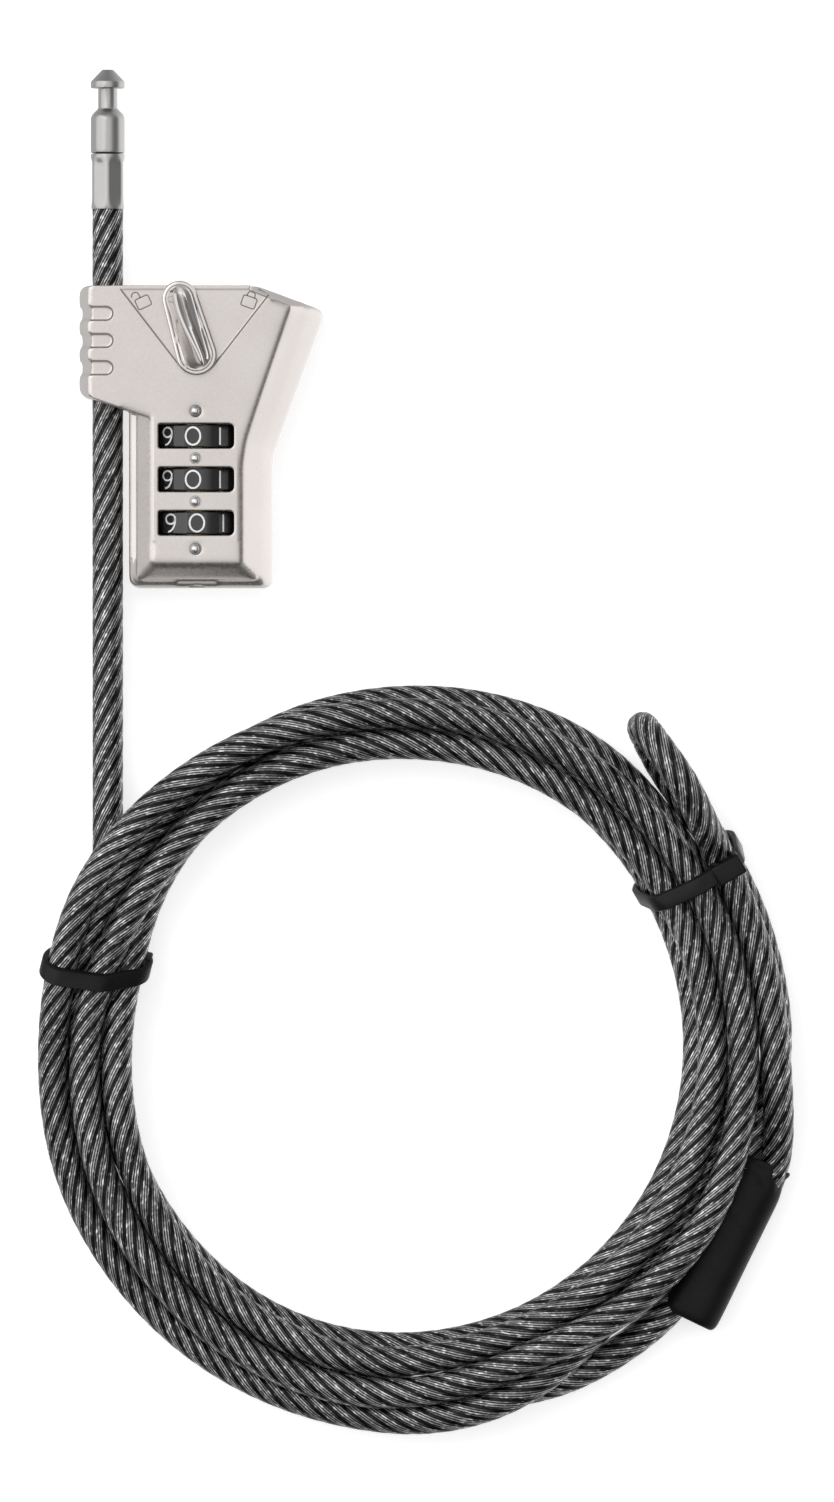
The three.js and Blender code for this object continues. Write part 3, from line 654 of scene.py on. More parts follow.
def shrink_ring(distance, wide, high, count=72):
    """One ring of the tubing: the outline round the two legs, with wrinkles at the collar."""
    ring = []
    collar = max(0.0, min(1.0, (distance - COLLAR_START) / COLLAR_GROWTH))
    for j in range(count):
        angle = 2 * pi * j / count
        x = squared(cos(angle), SHRINK_SQUARE[0]) * SHRINK_HALF_WIDTH * wide
        z = squared(sin(angle), SHRINK_SQUARE[1]) * SHRINK_HALF_HEIGHT * high
        rough = noise.noise(Vector((2.2 * cos(angle), 2.2 * sin(angle), 0.7 * distance)))
        fold = sin(WRINKLES * angle + 2.5 * rough) * sin(2.4 * distance)
        shift = 0.05 * rough + collar * 0.16 * (rough + 0.6 * fold)
        scale = 1 + shift / SHRINK_HALF_HEIGHT - 0.02
        lean = 0.5 * collar * rough
        centre = SLEEVE + (distance + lean) * SLEEVE_ALONG
        ring.append(tuple(centre + x * scale * SLEEVE_ACROSS + Vector((0, 0, z * scale))))
    return ring


def heat_shrink():
    """The black tubing: an outer and an inner skin, joined at both ends."""
    side, top = SHRINK_WALL
    outer = [shrink_ring(*station) for station in SHRINK_STATIONS]
    inner = [shrink_ring(d, w - side, h - top) for d, w, h in reversed(SHRINK_STATIONS)]
    shape = closed_loft(outer + inner)
    made = solid("shrink_tube", shape, SHRINK, "cable", "heat_shrink", ("heat_shrink",))
    round_off = made.modifiers.new("soft", "SUBSURF")
    round_off.levels = round_off.render_levels = 1
    return made


shrink_tube = heat_shrink()

# ---- cable ties
TIE_THICKNESS = 1.0
TIE_WIDTH = 2.7
TIE_CHAMFER = 0.22
TIE_CLEARANCE = 0.06
TIE_FLOOR = 0.05
TIE_HEAD_ROUND = 0.35
# Cable nearer the coil's centre than this isn't tied.
CLEAR_OF_MIDDLE = 20


def crossings(angle):
    """Where the cable crosses the half plane at an angle round the coil: (radius, height) pairs."""
    direction = np.array([cos(angle), sin(angle)])
    across = np.array([-direction[1], direction[0]])
    relative = ROUTE[:, :2] - np.array(COIL_CENTRE[:2])
    side = relative @ across
    reach = relative @ direction
    height = ROUTE[:, 2]
    found = []
    for i in range(len(ROUTE) - 1):
        if side[i] * side[i + 1] < 0 and reach[i] > CLEAR_OF_MIDDLE:
            t = side[i] / (side[i] - side[i + 1])
            found.append(tuple(row[i] + t * (row[i + 1] - row[i]) for row in (reach, height)))
    return found


def strap_line(circles, radius, count=120):
    """The line of a strap pulled tight round circles, as points in the (radius, height) plane."""
    samples = np.array([point for x, z in circles for point in arc(x, z, radius, radius, 0, 360, 48)])
    support = []
    for angle in np.linspace(0, 2 * pi, 96, endpoint=False):
        direction = np.array([cos(angle), sin(angle)])
        support.append(samples[(samples @ direction).argmax()])
    line = evenly(np.array(support + support[:1]), count, endpoint=False)
    for _ in range(3):
        line = 0.5 * line + 0.25 * (np.roll(line, 1, axis=0) + np.roll(line, -1, axis=0))
    return line


def rounded_block(half, radius):
    """A box of half sizes half with rounded edges: (points, faces)."""
    made = bmesh.new()
    bmesh.ops.create_cube(made, size=2)
    for vert in made.verts:
        vert.co = Vector(a * b for a, b in zip(vert.co, half))
    bmesh.ops.bevel(made, geom=list(made.edges), offset=radius, segments=3, profile=0.5, affect="EDGES")
    made.verts.index_update()
    points = [tuple(v.co) for v in made.verts]
    faces = [tuple(v.index for v in f.verts) for f in made.faces]
    made.free()
    return points, faces


def cable_tie(name, node, angle, tilt, skew, head_outside, head_inset, head_lift, head_half):
    """A nylon tie pulled round the turns, with its locking head near one end of the loop's top.

    tilt moves the lower part of the loop along the cable, and skew turns the band seen from above."""
    angle = radians(angle)
    radial = Vector((cos(angle), sin(angle), 0))
    tangent = Vector((-sin(angle), cos(angle), 0))
    line = strap_line(crossings(angle), CABLE_D / 2 + TIE_CLEARANCE)
    step = np.roll(line, -1, axis=0) - np.roll(line, 1, axis=0)
    normals = np.stack([step[:, 1], -step[:, 0]], axis=1)
    normals /= np.linalg.norm(normals, axis=1)[:, None]
    half = TIE_WIDTH / 2
    edge = TIE_CHAMFER
    right = [(half - edge, 0), (half, edge), (half, TIE_THICKNESS - edge), (half - edge, TIE_THICKNESS)]
    section = right + [(-along, out) for along, out in reversed(right)]
    top = float(line[:, 1].max())
    middle_radius = float(line[:, 0].mean())

    def world(radius, height, along):
        lean = tilt * (top - height) + skew * (radius - middle_radius)
        flat = COIL_CENTRE + radius * radial + (along + lean) * tangent
        return (flat.x, flat.y, height)

    rings = []
    for point, normal in zip(line, normals):
        ring = []
        for along, out in section:
            radius, height = map(float, point + out * normal)
            ring.append(world(radius, max(height, TIE_FLOOR), along))
        rings.append(ring)
    ends = float(line[:, 0].min()), float(line[:, 0].max())
    head_radius = ends[1] - head_inset if head_outside else ends[0] + head_inset
    above = line[line[:, 1] > line[:, 1].mean()]
    head_height = float(above[np.abs(above[:, 0] - head_radius).argmin(), 1]) + head_lift
    head_points, head_faces = rounded_block(head_half, TIE_HEAD_ROUND)
    head = [world(head_radius + x, head_height + z, y) for x, y, z in head_points]
    shape = joined([closed_loft(rings), (head, head_faces)])
    return solid(name, shape, NYLON, "cable", "cable_ties", (node,), sharp=50)


tie_1 = cable_tie(
    "tie_1", "cable_tie_1", angle=166.0, tilt=-0.6, skew=0.08,
    head_outside=False, head_inset=0.3, head_lift=-2.2, head_half=(1.0, 1.45, 1.3),
)
tie_2 = cable_tie(
    "tie_2", "cable_tie_2", angle=30.2, tilt=0.35, skew=0.0,
    head_outside=True, head_inset=3.0, head_lift=0.9, head_half=(2.5, 1.65, 1.3),
)

# ---- plug and ferrule
def revolved(profile, place, count=72, shape=None):
    """A turned solid's (points, faces) from a profile of (radius, height).

    place(radius, height, angle) gives a point, and shape(radius, height, angle) may change the radius."""
    rings = []
    for radius, height in profile:
        turns = [2 * pi * j / count for j in range(count)]
        rings.append([place(shape(radius, height, t) if shape else radius, height, t) for t in turns])
    return loft(rings)


def turned(name, profile, slot, node, shape=None):
    """A turned steel piece on the barrel's axis."""

    def on_barrel(radius, height, angle):
        return (BARREL_X + radius * cos(angle), height, BARREL_Z + radius * sin(angle))

    surface = revolved(profile, on_barrel, shape=shape)
    return solid(name, surface, PLUG_STEEL, "cable", slot, (node,), sharp=40)


# Profiles are (radius, place along the barrel's axis).
PLUG_PROFILE = [
    (2.55, 45.62), (2.7, 45.7), (2.75, 45.85), (2.75, 46.3), (2.75, 50.9), (2.73, 51.3),
    (2.6, 51.62), (2.4, 51.95), (1.75, 52.62), (1.62, 52.75), (1.55, 52.95), (1.55, 55.9),
    (1.6, 56.05), (2.6, 56.1), (2.72, 56.15), (2.75, 56.27), (2.75, 57.05), (2.72, 57.18),
    (2.6, 57.32), (1.05, 58.95), (0.9, 59.08), (0.7, 59.1),
]
plug = turned("plug", PLUG_PROFILE, "plug", "plug_pin")

FERRULE_R = 2.75
# The straight stretch has many stations, because the crimp bends it.
FERRULE_STATIONS = (37.3, 38.2, 39.2, 40.2, 41.2, 42.2, 43.0, 43.7, 44.2, 44.7, 45.2)
FERRULE_PROFILE = [(2.45, 36.5), (2.62, 36.55), (2.7, 36.8)]
FERRULE_PROFILE += [(FERRULE_R, y) for y in FERRULE_STATIONS]
FERRULE_PROFILE += [(2.72, 45.4), (2.6, 45.48), (2.4, 45.5)]
# Half the distance between opposite flats, and where the flats fade out.
CRIMP_FLAT = 2.5
CRIMP_LOW = 36.5
CRIMP_HIGH = 45.0
DENT_PLACE = 43.9
DENT_DEPTH = 0.12


def crimped(radius, y, angle):
    """Six flats pressed into the ferrule, deepest at its middle, with a short dent in each near its top."""
    turn = (angle + pi / 6) % (pi / 3) - pi / 6
    flat = CRIMP_FLAT / cos(turn)
    press = max(0.0, min(1.0, (y - CRIMP_LOW) / 1.5, (CRIMP_HIGH - y) / 1.2))
    dent = DENT_DEPTH * exp(-((y - DENT_PLACE) / 0.35) ** 2) * exp(-(turn / 0.3) ** 2)
    return radius + press * min(0.0, flat - radius) - dent


ferrule = turned("ferrule_crimp", FERRULE_PROFILE, "crimp", "ferrule", crimped)

[tuple(float(c) * MM for c in point) for point in ROUTE[::2]]

# ---- housing
HOUSING_VOXEL = 0.16
SOFTENING_ROUNDS = 60
FACES_KEPT = 0.3
FRONT_Z = node_box("front_housing")[1].z
DIALS = [hinge_place(f"dial_{n}_spin") for n in (1, 2, 3)]
KNOB_PIVOT = hinge_place("knob_turn")
# The foot of the right-hand bevel. Beyond it the side slopes, fully above SLOPE_HIGH and not below SLOPE_LOW.
BEVEL_FOOT = ((10.2, -24.6), (10.2, -3.3), (22.0, 33.3))
SIDE_SLOPE = 2.2
SLOPE_LOW = 3.0
SLOPE_HIGH = 10.5
# The sunk panel's corners, and its depth in the CAD and here.
PANEL_TOP_LEFT = (-12.9, 23.3)
PANEL_FOOT = (-0.65, 7.4)
PANEL_FOOT_R = 3.6
PANEL_RIGHT = (11.0, 22.4)
PANEL_TOP_RIGHT = (9.3, 23.3)
PANEL_LINE = 0.24
PANEL_CUT = 0.3
PANEL_DEPTH = 0.12
PANEL_MARGIN = 0.7
# The finger grooves' middles, and their depth in the CAD and here.
GROOVES = (19.36, 15.0, 10.6)
GROOVE_HALF = 1.1
GROOVE_START = -17.7
GROOVE_END = -14.1
GROOVE_LINE = 0.26
GROOVE_CUT = 0.6
GROOVE_DEPTH = 0.3
GROOVED_X = -13.0
GROOVED_Y = 2.0


def even_mesh(node, voxel):
    """A CAD node's surface as a new mesh of small even quads."""
    source = new_object("even_source", frame["nodes"][node].data.copy())
    remesh = source.modifiers.new("even", "REMESH")
    remesh.mode = "VOXEL"
    remesh.voxel_size = voxel * MM
    graph = bpy.context.evaluated_depsgraph_get()
    mesh = bpy.data.meshes.new_from_object(source.evaluated_get(graph))
    bpy.data.objects.remove(source)
    return mesh


def rows_of(items, attribute, width, kind=np.float32):
    """An attribute of all vertices or edges, one row of width numbers for each."""
    values = np.empty(len(items) * width, kind)
    items.foreach_get(attribute, values)
    return values.reshape(-1, width)


def softened(mesh, rounds, softness):
    """Moves each vertex towards its neighbours' mean, rounds times, by softness(x, y, z, upward normal)."""
    count = len(mesh.vertices)
    place = rows_of(mesh.vertices, "co", 3).astype(float)
    edges = rows_of(mesh.edges, "vertices", 2, np.int32)
    first, second = edges.T
    neighbours = np.bincount(edges.ravel(), minlength=count)
    up = rows_of(mesh.vertices, "normal", 3)[:, 2]
    share = softness(*(place / MM).T, up)[:, None]
    mean = np.empty_like(place)
    for _ in range(rounds):
        for k in range(3):
            total = np.bincount(first, place[second, k], count) + np.bincount(second, place[first, k], count)
            mean[:, k] = total / neighbours
        place += share * (mean - place)
    mesh.vertices.foreach_set("co", place.astype(np.float32).ravel())


def above_line(x, y, start, end):
    """How far (x, y) lies to the left of the line from start to end."""
    run, rise = end[0] - start[0], end[1] - start[1]
    return (run * (y - start[1]) - rise * (x - start[0])) / hypot(run, rise)


def on_panel(x, y):
    """True on the sunk panel and a little round it."""
    inside = above_line(x, y, PANEL_FOOT, PANEL_TOP_LEFT) < PANEL_MARGIN
    inside &= above_line(x, y, PANEL_FOOT, PANEL_RIGHT) > -PANEL_MARGIN
    return inside & (y > PANEL_FOOT[1] + 0.4)


def beyond_bevel(x, y):
    """How far (x, y) lies outside the foot of the right-hand bevel."""
    low, bend, high = BEVEL_FOOT
    return -np.maximum(above_line(x, y, low, bend), above_line(x, y, bend, high))


def on_grooves(x, y):
    """True on the part of the barrel that has the finger grooves."""
    return (x < GROOVED_X) & (y > GROOVES[-1] - GROOVED_Y) & (y < GROOVES[0] + GROOVED_Y)


def raised(drop, cut, depth):
    """Drops below the front face, where a drop of cut becomes depth and drops over twice cut stay."""
    return np.interp(drop, (0, cut, 2 * cut, 99), (0, depth, 2 * cut, 99))


def reshaped(mesh):
    """Makes the finger grooves and the sunk panel shallower, and the ledge beside the right bevel a slope."""
    place = rows_of(mesh.vertices, "co", 3)
    x, y, z = (place / MM).T
    drop = FRONT_Z - z
    drop = np.where(on_grooves(x, y), raised(drop, GROOVE_CUT, GROOVE_DEPTH), drop)
    drop = np.where(on_panel(x, y), raised(drop, PANEL_CUT, PANEL_DEPTH), drop)
    slope = SIDE_SLOPE * np.clip(beyond_bevel(x, y), 0, None)
    drop += slope * np.clip((z - SLOPE_LOW) / (SLOPE_HIGH - SLOPE_LOW), 0, 1)
    place[:, 2] = (FRONT_Z - drop) * MM
    mesh.vertices.foreach_set("co", place.ravel())


# How far a vertex moves in each round, as a share of the way to its neighbours' mean.
CRISP = 0.02
FIRM = 0.06
ROUNDED = 0.3
SOFT = 0.9
BARREL_SIDE_X = -17.5
BARREL_LOW = 9
FACE_LOW = 12.8
RIM_LOW = 5
CHIN_LOW = 8.5


def cast_softness(x, y, z, up):
    """Crisp round the windows, panel and grooves, very soft on the front's creases, firm elsewhere."""
    on_face = z > FRONT_Z - 1.0
    windows = on_face & (x > DIALS[0].x - 7.0) & (x < DIALS[0].x + 6.6)
    windows &= (y > DIALS[2].y - 3) & (y < DIALS[0].y + 3)
    grooves = (z > BARREL_LOW) & (x < GROOVED_X)
    front = (up > 0.25) & (z > FACE_LOW)
    chin = (y < -20) & (z > CHIN_LOW) & (np.abs(x - DIALS[0].x) > 3.2)
    rim = ((beyond_bevel(x, y) > -1.5) | chin) & (z > RIM_LOW) & (z < FACE_LOW)
    share = np.full(x.shape, FIRM)
    share[front | rim] = SOFT
    share[grooves] = CRISP
    share[grooves & (x < BARREL_SIDE_X)] = ROUNDED
    share[windows | (on_face & on_panel(x, y))] = CRISP
    return share


def cast_housing():
    """The CAD's front housing with the soft edges of a casting and its fine details reshaped."""
    mesh = even_mesh("front_housing", HOUSING_VOXEL)
    reshaped(mesh)
    softened(mesh, SOFTENING_ROUNDS, cast_softness)
    mesh.materials.clear()
    mesh.materials.append(NICKEL)
    mesh.shade_smooth()
    made = framed("cast_housing", mesh, "lock_case", "cast_housing", ("front_housing",))
    fewer = made.modifiers.new("fewer", "DECIMATE")
    fewer.ratio = FACES_KEPT


cast_housing()

# ---- the engraved lines of the panel and the grooves, drawn as dark strips of painted shade
ICON_BODY = (2.3, 1.75)
ICON_SHACKLE = 0.62
ICON_LINE = 0.2
OPEN_SIGN = (-9.2, 21.15, 25)
CLOSED_SIGN = (7.8, 21.2, -20)


def rounded_path(before, corner, after, radius, steps=14):
    """A path from before to after, with a round of radius at corner."""
    before, corner, after = map(np.array, (before, corner, after))
    one = (before - corner) / np.linalg.norm(before - corner)
    two = (after - corner) / np.linalg.norm(after - corner)
    half_angle = acos(float(one @ two)) / 2
    middle_way = (one + two) / np.linalg.norm(one + two)
    centre = corner + middle_way * radius / sin(half_angle)
    start = corner + one * radius / tan(half_angle) - centre
    end = corner + two * radius / tan(half_angle) - centre
    round_part = []
    for k in range(steps + 1):
        mixed = start + (end - start) * k / steps
        round_part.append(centre + mixed / np.linalg.norm(mixed) * radius)
    return [before] + round_part + [after]


def padlock_lines(x, y, lean, is_open):
    """A generic padlock pictogram about (x, y), leaning by some degrees: (path, closed) pairs."""
    wide, tall = ICON_BODY
    box = arc(0, 0, 1, 1, 45, 405, 4)[:4]
    box = [(a * wide / sqrt(2), b * tall / sqrt(2)) for a, b in box]
    body = []
    for k, corner in enumerate(box):
        body += rounded_path(box[k - 1], corner, box[(k + 1) % 4], 0.3, 4)[1:-1]
    shift = -0.75 if is_open else 0
    lift = tall / 2 + (0.55 if is_open else 0.3)
    hoop = arc(shift, lift, ICON_SHACKLE, ICON_SHACKLE, 0, 180, 12)
    hoop = [(shift + ICON_SHACKLE, tall / 2)] + hoop
    if not is_open:
        hoop.append((shift - ICON_SHACKLE, tall / 2))

    def placed(point):
        across, up = rotated(*point, radians(lean))
        return x + across, y + up

    return [([placed(point) for point in path], closed) for path, closed in ((body, True), (hoop, False))]


def panel_shade_lines():
    """Dark strips of painted shade in the lines cut round the sunk panel and the grooves, and in the two
    signs beside the knob; over the grooves they also cover the walls.
    """
    floor_z = FRONT_Z - PANEL_DEPTH
    outline = rounded_path(PANEL_TOP_LEFT, PANEL_FOOT, PANEL_RIGHT, PANEL_FOOT_R)
    outline.append(np.array(PANEL_TOP_RIGHT))
    parts = [ribbon(outline, PANEL_LINE, floor_z - 0.2, FRONT_Z + 0.015)]
    for path, closed in padlock_lines(*OPEN_SIGN, True) + padlock_lines(*CLOSED_SIGN, False):
        parts.append(ribbon(path, ICON_LINE, floor_z - 0.35, floor_z + 0.03, closed))
    for y in GROOVES:
        line = [(GROOVE_START, y - GROOVE_HALF), (GROOVE_START, y + GROOVE_HALF)]
        line[1:1] = arc(GROOVE_END - GROOVE_HALF, y, GROOVE_HALF, GROOVE_HALF, -90, 90)
        parts.append(ribbon(line, GROOVE_LINE, FRONT_Z - GROOVE_CUT, FRONT_Z + 0.012))
    solid("panel_shade_lines", joined(parts), GROOVE_SHADE, "lock_case", "cast_housing", smooth=False)


panel_shade_lines()

# ---- knob
# Distances along the knob are from its pivot towards its head.
KNOB_LEAN = radians(16.5)
KNOB_REACH = 9.37
FOOT_R = 3.3
HEAD_R = 2.9
SHAFT_R = 2.0
KNOB_TOP = node_box("knob")[1].z
KNOB_LOW = node_box("knob")[0].z
PLATE_TOP = 18.2
PLATE_LOW = PLATE_TOP - 1.7
# (inset from the plate's outline, height over its top), from its underside round its rim to the grip's foot
PLATE_STEPS = [
    (0.2, -1.7), (0.04, -1.6), (0.0, -1.4), (0.0, -0.5), (0.05, -0.25), (0.2, -0.06),
    (0.4, 0.0), (0.55, 0.0), (0.66, -0.12), (0.8, -0.25), (0.95, -0.25),
]
GRIP_FOOT_R = 2.15
GRIP_HEAD_R = 2.2
CREST_HALF = 0.14
# How far the crest lies to the right of the knob's middle line, by the distance along it.
CREST = np.polynomial.Polynomial.fit([-2.0, 2.5, 8.8, 12.0], [0.55, -0.1, -0.7, 0.0], 3)
# (share of the way from the grip's foot to its crest, height share on the left, height share on the right)
GRIP_STEPS = [
    (0.0, 0.0, 0.0), (0.06, 0.22, 0.30), (0.2, 0.38, 0.40), (0.42, 0.56, 0.46), (0.56, 0.67, 0.60),
    (0.66, 0.76, 0.84), (0.85, 0.92, 0.95), (0.95, 0.98, 0.99), (1.0, 1.0, 1.0),
]


def capsule(foot, head, blunt=1.0):
    """A long outline of (across, along) points, from the foot's tip round and back, the same both sides."""
    steps = 12
    quarter = [pi / 2 * (k + 0.5) / steps for k in range(steps)]
    right = [(foot * sin(a) ** blunt, -foot * cos(a)) for a in quarter]
    right += [(foot + (head - foot) * k / steps, KNOB_REACH * k / steps) for k in range(steps + 1)]
    right += [(head * cos(a), KNOB_REACH + head * sin(a)) for a in quarter]
    return right + [(-x, y) for x, y in reversed(right)]


def knob_grip():
    """A round-ended plate on its shaft, with a tall grip whose crest runs in a shallow S."""

    def world(across, along, height):
        x, y = rotated(across, along, KNOB_LEAN)
        return (KNOB_PIVOT.x + x, KNOB_PIVOT.y + y, height)

    plate = capsule(FOOT_R, HEAD_R)
    shaft = [(x * SHAFT_R / hypot(x, y), y * SHAFT_R / hypot(x, y)) for x, y in plate]
    levels = [(shaft, KNOB_LOW), (shaft, PLATE_LOW)]
    levels += [(capsule(FOOT_R - inset, HEAD_R - inset), PLATE_TOP + over) for inset, over in PLATE_STEPS]
    rings = [[world(x, y, height) for x, y in outline] for outline, height in levels]
    grip = capsule(GRIP_FOOT_R, GRIP_HEAD_R, 0.55)
    low = PLATE_TOP - 0.2
    for share, left, right in GRIP_STEPS:
        ring = []
        for x, y in grip:
            crest_x = float(CREST(y)) + (CREST_HALF if x > 0 else -CREST_HALF)
            crest_y = y * 0.97
            head_fall = 1.3 * max(0.0, (y - 10.2) / 1.4) ** 2
            foot_fall = 0.5 * max(0.0, (-1.0 - y) / 1.1) ** 2
            crest_z = KNOB_TOP - head_fall - foot_fall
            height = low + (crest_z - low) * (right if x > 0 else left)
            ring.append(world(x + (crest_x - x) * share, y + (crest_y - y) * share, height))
        rings.append(ring)
    points, faces = loft(rings)
    # The crest's narrow top is closed by quads across it, in place of the loft's last face.
    start = (len(rings) - 1) * len(grip)
    last = len(grip) - 1
    across = range(len(grip) // 2 - 1)
    faces[-1:] = [(start + i, start + i + 1, start + last - i - 1, start + last - i) for i in across]
    solid("knob_grip", (points, faces), POLISHED, "turn_knob", "knob", ("knob",), sharp=32)


knob_grip()

# ---- number wheels
DIAL_R = 7.6
DIAL_BORE = 3.4
DIAL_HALF = 1.85
TILE_HALF = 1.6
# How many degrees each wheel's 0 stands above its window's middle.
DIAL_SET = [4, 4, -1]
DIGIT_LINE = 0.29
WHEEL_SIDES = 10
APOTHEM = DIAL_R * cos(pi / WHEEL_SIDES)
NINE = [(arc(0.05, 0.62, 0.92, 0.78, 0, 360)[:-1], True), (arc(-0.48, 0.62, 1.45, 2.02, 0, -88), False)]
# The strokes of each digit as (path, closed), 2.8 mm tall, about the digit's middle.
DIGITS = [
    [(arc(0, 0, 1.18, 1.4, 0, 360, 36)[:-1], True)],
    [([(0, -1.4), (0, -0.5), (0, 0.5), (0, 1.4)], False)],
    [(arc(0, 0.6, 0.85, 0.8, 165, -35) + [(-0.85, -1.38), (-0.4, -1.4), (0.95, -1.4)], False)],
    [(arc(-0.05, 0.72, 0.75, 0.68, 150, -80), False), (arc(-0.05, -0.64, 0.9, 0.76, 95, -150), False)],
    [([(0.5, -1.4), (0.5, 0), (0.5, 1.4)], False), ([(0.5, 1.4), (-0.9, -0.5)], False),
     ([(-0.95, -0.5), (1.0, -0.5)], False)],
    [([(0.8, 1.4), (-0.62, 1.4)], False), ([(-0.6, 1.4), (-0.72, 0.2)], False),
     (arc(-0.05, -0.47, 0.9, 0.93, 135, -150), False)],
    [([(-x, -y) for x, y in path], closed) for path, closed in NINE],
    [([(-0.9, 1.4), (0.95, 1.4)], False), ([(0.9, 1.4), (-0.25, -1.4)], False)],
    [(arc(0, 0.72, 0.72, 0.68, 0, 360)[:-1], True), (arc(0, -0.68, 0.92, 0.72, 0, 360)[:-1], True)],
    NINE,
]


def wheel_outline(inset, front):
    """A decagon with cut corners, as (x, z) points about its axis, one side facing the angle front."""
    outline = []
    for side in range(WHEEL_SIDES):
        turn = front - 2 * pi * side / WHEEL_SIDES
        for across in (-TILE_HALF, -TILE_HALF + 0.12, 0, TILE_HALF - 0.12, TILE_HALF):
            out = APOTHEM - inset - (0.02 if abs(across) == TILE_HALF else 0)
            outline.append(rotated(out, -across, turn))
    return outline


def number_wheel(n, centre, front):
    """A black wheel with ten numbered sides, and the digits painted on them."""
    front = radians(90 + front)
    body = f"wheel_{n}"
    rings = []
    for y, inset in ((-1, 0.35), (-0.95, 0.12), (-0.86, 0.0), (0.86, 0.0), (0.95, 0.12), (1, 0.35)):
        rings.append([(x, y * DIAL_HALF, z) for x, z in wheel_outline(inset, front)])
    for y in (DIAL_HALF, -DIAL_HALF):
        scales = [(x, z, DIAL_BORE / hypot(x, z)) for x, z in wheel_outline(0, front)]
        rings.append([(x * scale, y, z * scale) for x, z, scale in scales])
    rings = [[centre + Vector(point) for point in ring] for ring in rings]
    nodes = (f"dial_{n}",)
    solid(f"number_wheel_{n}", closed_loft(rings), BLACK_GLOSS, body, "dials", nodes, sharp=12)

    strokes = []
    for digit, lines in enumerate(DIGITS):
        turn = front - 2 * pi * digit / WHEEL_SIDES
        for path, closed in lines:
            points, faces = ribbon(path, DIGIT_LINE, APOTHEM - 0.06, APOTHEM + 0.03, closed)
            placed = []
            for across, up, out in points:
                x, z = rotated(out, -across, turn)
                placed.append((centre.x + x, centre.y + up, centre.z + z))
            strokes.append((placed, faces))
    solid(f"digits_{n}", joined(strokes), DIGIT_WHITE, body, "dials", smooth=False)


for n, (centre, front) in enumerate(zip(DIALS, DIAL_SET), start=1):
    number_wheel(n, centre, front)

# ---- index studs
STUD_RING = 0.74
# (radius, height over the housing's face): a ring given the dark painted shade of the groove round the dome,
# and a polished dome inside it
STUD_PROFILE = [(0.94, -0.5), (0.94, 0.01), (0.91, 0.03), (0.88, 0.0), (0.86, -0.3), (STUD_RING, -0.3)]
STUD_PROFILE += [(STUD_RING * cos(t), -0.02 + 0.6 * sin(t)) for t in np.linspace(0, 1.5, 12)]


def index_stud(n):
    """One of the polished studs between the windows."""
    node = f"index_stud_{n}"
    low, high = node_box(node)
    centre = (low + high) / 2

    def upright(radius, height, angle):
        return (centre.x + radius * cos(angle), centre.y + radius * sin(angle), FRONT_Z + height)

    shape = revolved(STUD_PROFILE, upright, 40)
    made = solid(f"stud_{n}", shape, CHROME, "lock_case", "index_studs", (node,), sharp=45)
    # The outer ring's faces get painted shade, for the groove round the dome.
    made.data.materials.append(GROOVE_SHADE)
    for polygon in made.data.polygons:
        offset = polygon.center / MM - centre
        if hypot(offset.x, offset.y) > STUD_RING:
            polygon.material_index = 1


for n in (1, 2, 3, 4):
    index_stud(n)


# ---- the spindle's spring
SPRING_WIRE = 0.2
SPRING_TURNS = 2.5


def return_spring():
    """The spring under the spindle, made at its full length; it doesn't shorten as the spindle comes down."""
    low, high = node_box("spindle_spring")
    centre = (low + high) / 2
    radius = (high.x - low.x) / 2 - SPRING_WIRE
    turns = np.linspace(0, SPRING_TURNS * 2 * pi, 120)
    rise = np.linspace(low.y + SPRING_WIRE, high.y - SPRING_WIRE, 120)
    line = np.stack([centre.x + radius * np.cos(turns), rise, centre.z + radius * np.sin(turns)], axis=1)
    around = np.linspace(0, 2 * pi, 10, endpoint=False)
    shape = loft(rings_round(line, SPRING_WIRE, around[None, :]))
    made = solid("return_spring", shape, SPRING, "lock_case", "springs", ("spindle_spring",))
    travel = joint_of("spindle_slide")["range_m"]
    keep = 1 - (max(travel) - min(travel)) / MM / (high.y - low.y)
    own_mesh(made)


return_spring()


# ---- materials of the CAD nodes that stay
KEPT = {
    NICKEL: ["back_cover"],
    SCREW_STEEL: ["cover_screw_1", "cover_screw_2", "cover_screw_3", "cover_screw_4", "reset_screw"],
    SPRING: ["detent_spring", "knob_clip"],
    MECHANISM: ["cam", "latch_bolt"],
    BRASS: ["spindle", "dial_sleeve_1", "dial_sleeve_2", "dial_sleeve_3"],
    ALUMINIUM: ["crimp_sleeve"],
}
for material, nodes in KEPT.items():
    for node in nodes:
        kept = frame["nodes"][node]
        kept.data.materials.clear()
        kept.data.materials.append(material)


# ---- stage
# What a polished part sees on each side, as (the direction's height from -1 below to 1 overhead, brightness).
SKY = {
    "left": ((-1.0, 0.40), (-0.6, 0.43), (-0.35, 0.46), (0.0, 0.40), (0.25, 0.16), (0.85, 0.18), (1.0, 0.62)),
    "right": ((-1.0, 0.78), (0.05, 0.78), (0.2, 0.30), (0.35, 0.12), (0.80, 0.14), (0.92, 0.54), (1.0, 0.62)),
    "near": ((-1.0, 0.42), (-0.35, 0.36), (-0.1, 0.06), (0.70, 0.06), (0.90, 0.44), (1.0, 0.62)),
    "far": ((-1.0, 0.32), (-0.2, 0.24), (0.3, 0.20), (0.7, 0.42), (1.0, 0.62)),
}
SKY_STRENGTH = 1.85


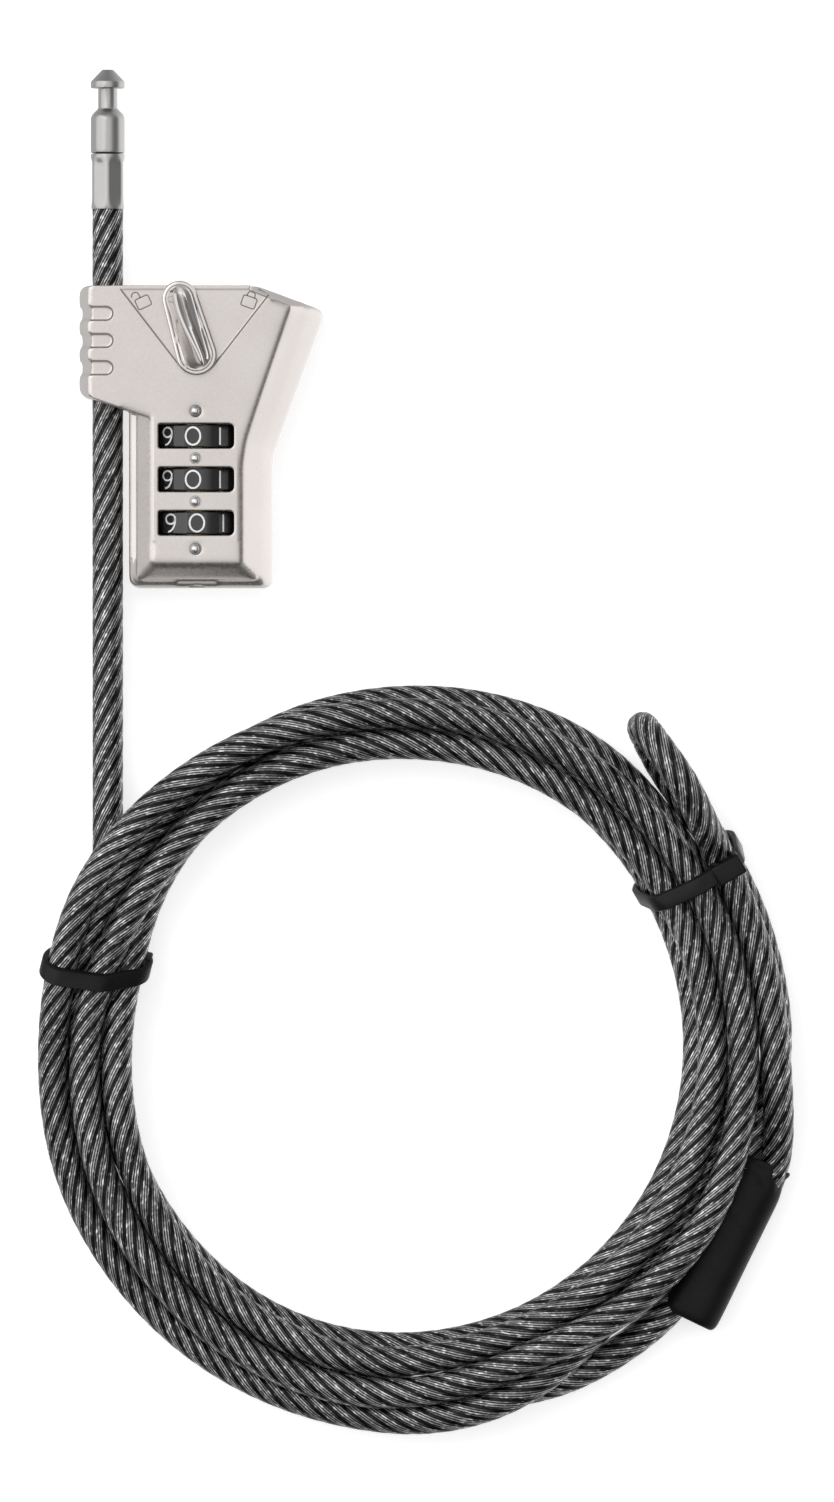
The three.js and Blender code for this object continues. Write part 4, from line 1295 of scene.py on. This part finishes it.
def sky():
    """A studio world whose brightness depends on the direction, blended between the four sides of SKY."""
    world = bpy.data.worlds.new("studio")
    bpy.context.scene.world = world
    world.use_nodes = True
    nodes = Nodes(world.node_tree)
    direction = nodes.node("TexCoord").outputs["Generated"]
    parts = nodes.node("SeparateXYZ", {"Vector": direction}).outputs
    height = nodes.spread(parts["Z"], 0.0, 1.0, -1.0, 1.0)

    def side(name):
        return nodes.ramp(height, *[((z + 1) / 2, grey(value)) for z, value in SKY[name]])

    def either(test, below, above):
        share = nodes.math("GREATER_THAN", test, 0.0)
        return nodes.plus(below, nodes.times(nodes.minus(above, below), share))

    sideways = either(parts["X"], side("left"), side("right"))
    forwards = either(parts["Y"], side("near"), side("far"))
    x_square = nodes.times(parts["X"], parts["X"])
    y_square = nodes.times(parts["Y"], parts["Y"])
    share = nodes.math("DIVIDE", x_square, nodes.plus(x_square, y_square))
    blend = nodes.times(nodes.minus(sideways, forwards), share)
    background = nodes.tree.nodes["Background"].inputs
    nodes.tree.links.new(nodes.times(nodes.plus(forwards, blend), SKY_STRENGTH), background["Strength"])
    background["Color"].default_value = (1, 1, 1, 1)


FLOOR_HALF = 1.5
FLOOR_GLOW = 0.6
LAMP_ENERGY = 4.5
LAMP_SIZE = 1.1
LAMP_PLACE = (-0.62, 0.22, 0.55)
LAMP_TARGET = (0, -0.05, 0)


def stage():
    """A white floor that glows a little, the sky, a soft lamp at the left and plain colours."""
    mesh = bpy.data.meshes.new("floor")
    signs = ((-1, -1), (1, -1), (1, 1), (-1, 1))
    mesh.from_pydata([(x * FLOOR_HALF, y * FLOOR_HALF, 0) for x, y in signs], [], [(0, 1, 2, 3)])
    paint = Finish("floor_white", Base_Color=(0.9, 0.9, 0.9, 1), Roughness=0.9)
    paint.shader.inputs["Emission Color"].default_value = (1, 1, 1, 1)
    paint.shader.inputs["Emission Strength"].default_value = FLOOR_GLOW
    mesh.materials.append(paint.material)
    floor = new_object("floor", mesh)
    floor.visible_glossy = False
    sky()

    data = bpy.data.lights.new("softbox", "AREA")
    data.energy = LAMP_ENERGY
    data.size = LAMP_SIZE
    lamp = new_object("softbox", data)
    lamp.location = LAMP_PLACE
    lamp.rotation_euler = (Vector(LAMP_TARGET) - lamp.location).to_track_quat("-Z", "Y").to_euler()
    bpy.context.scene.view_settings.view_transform = "Standard"


stage()
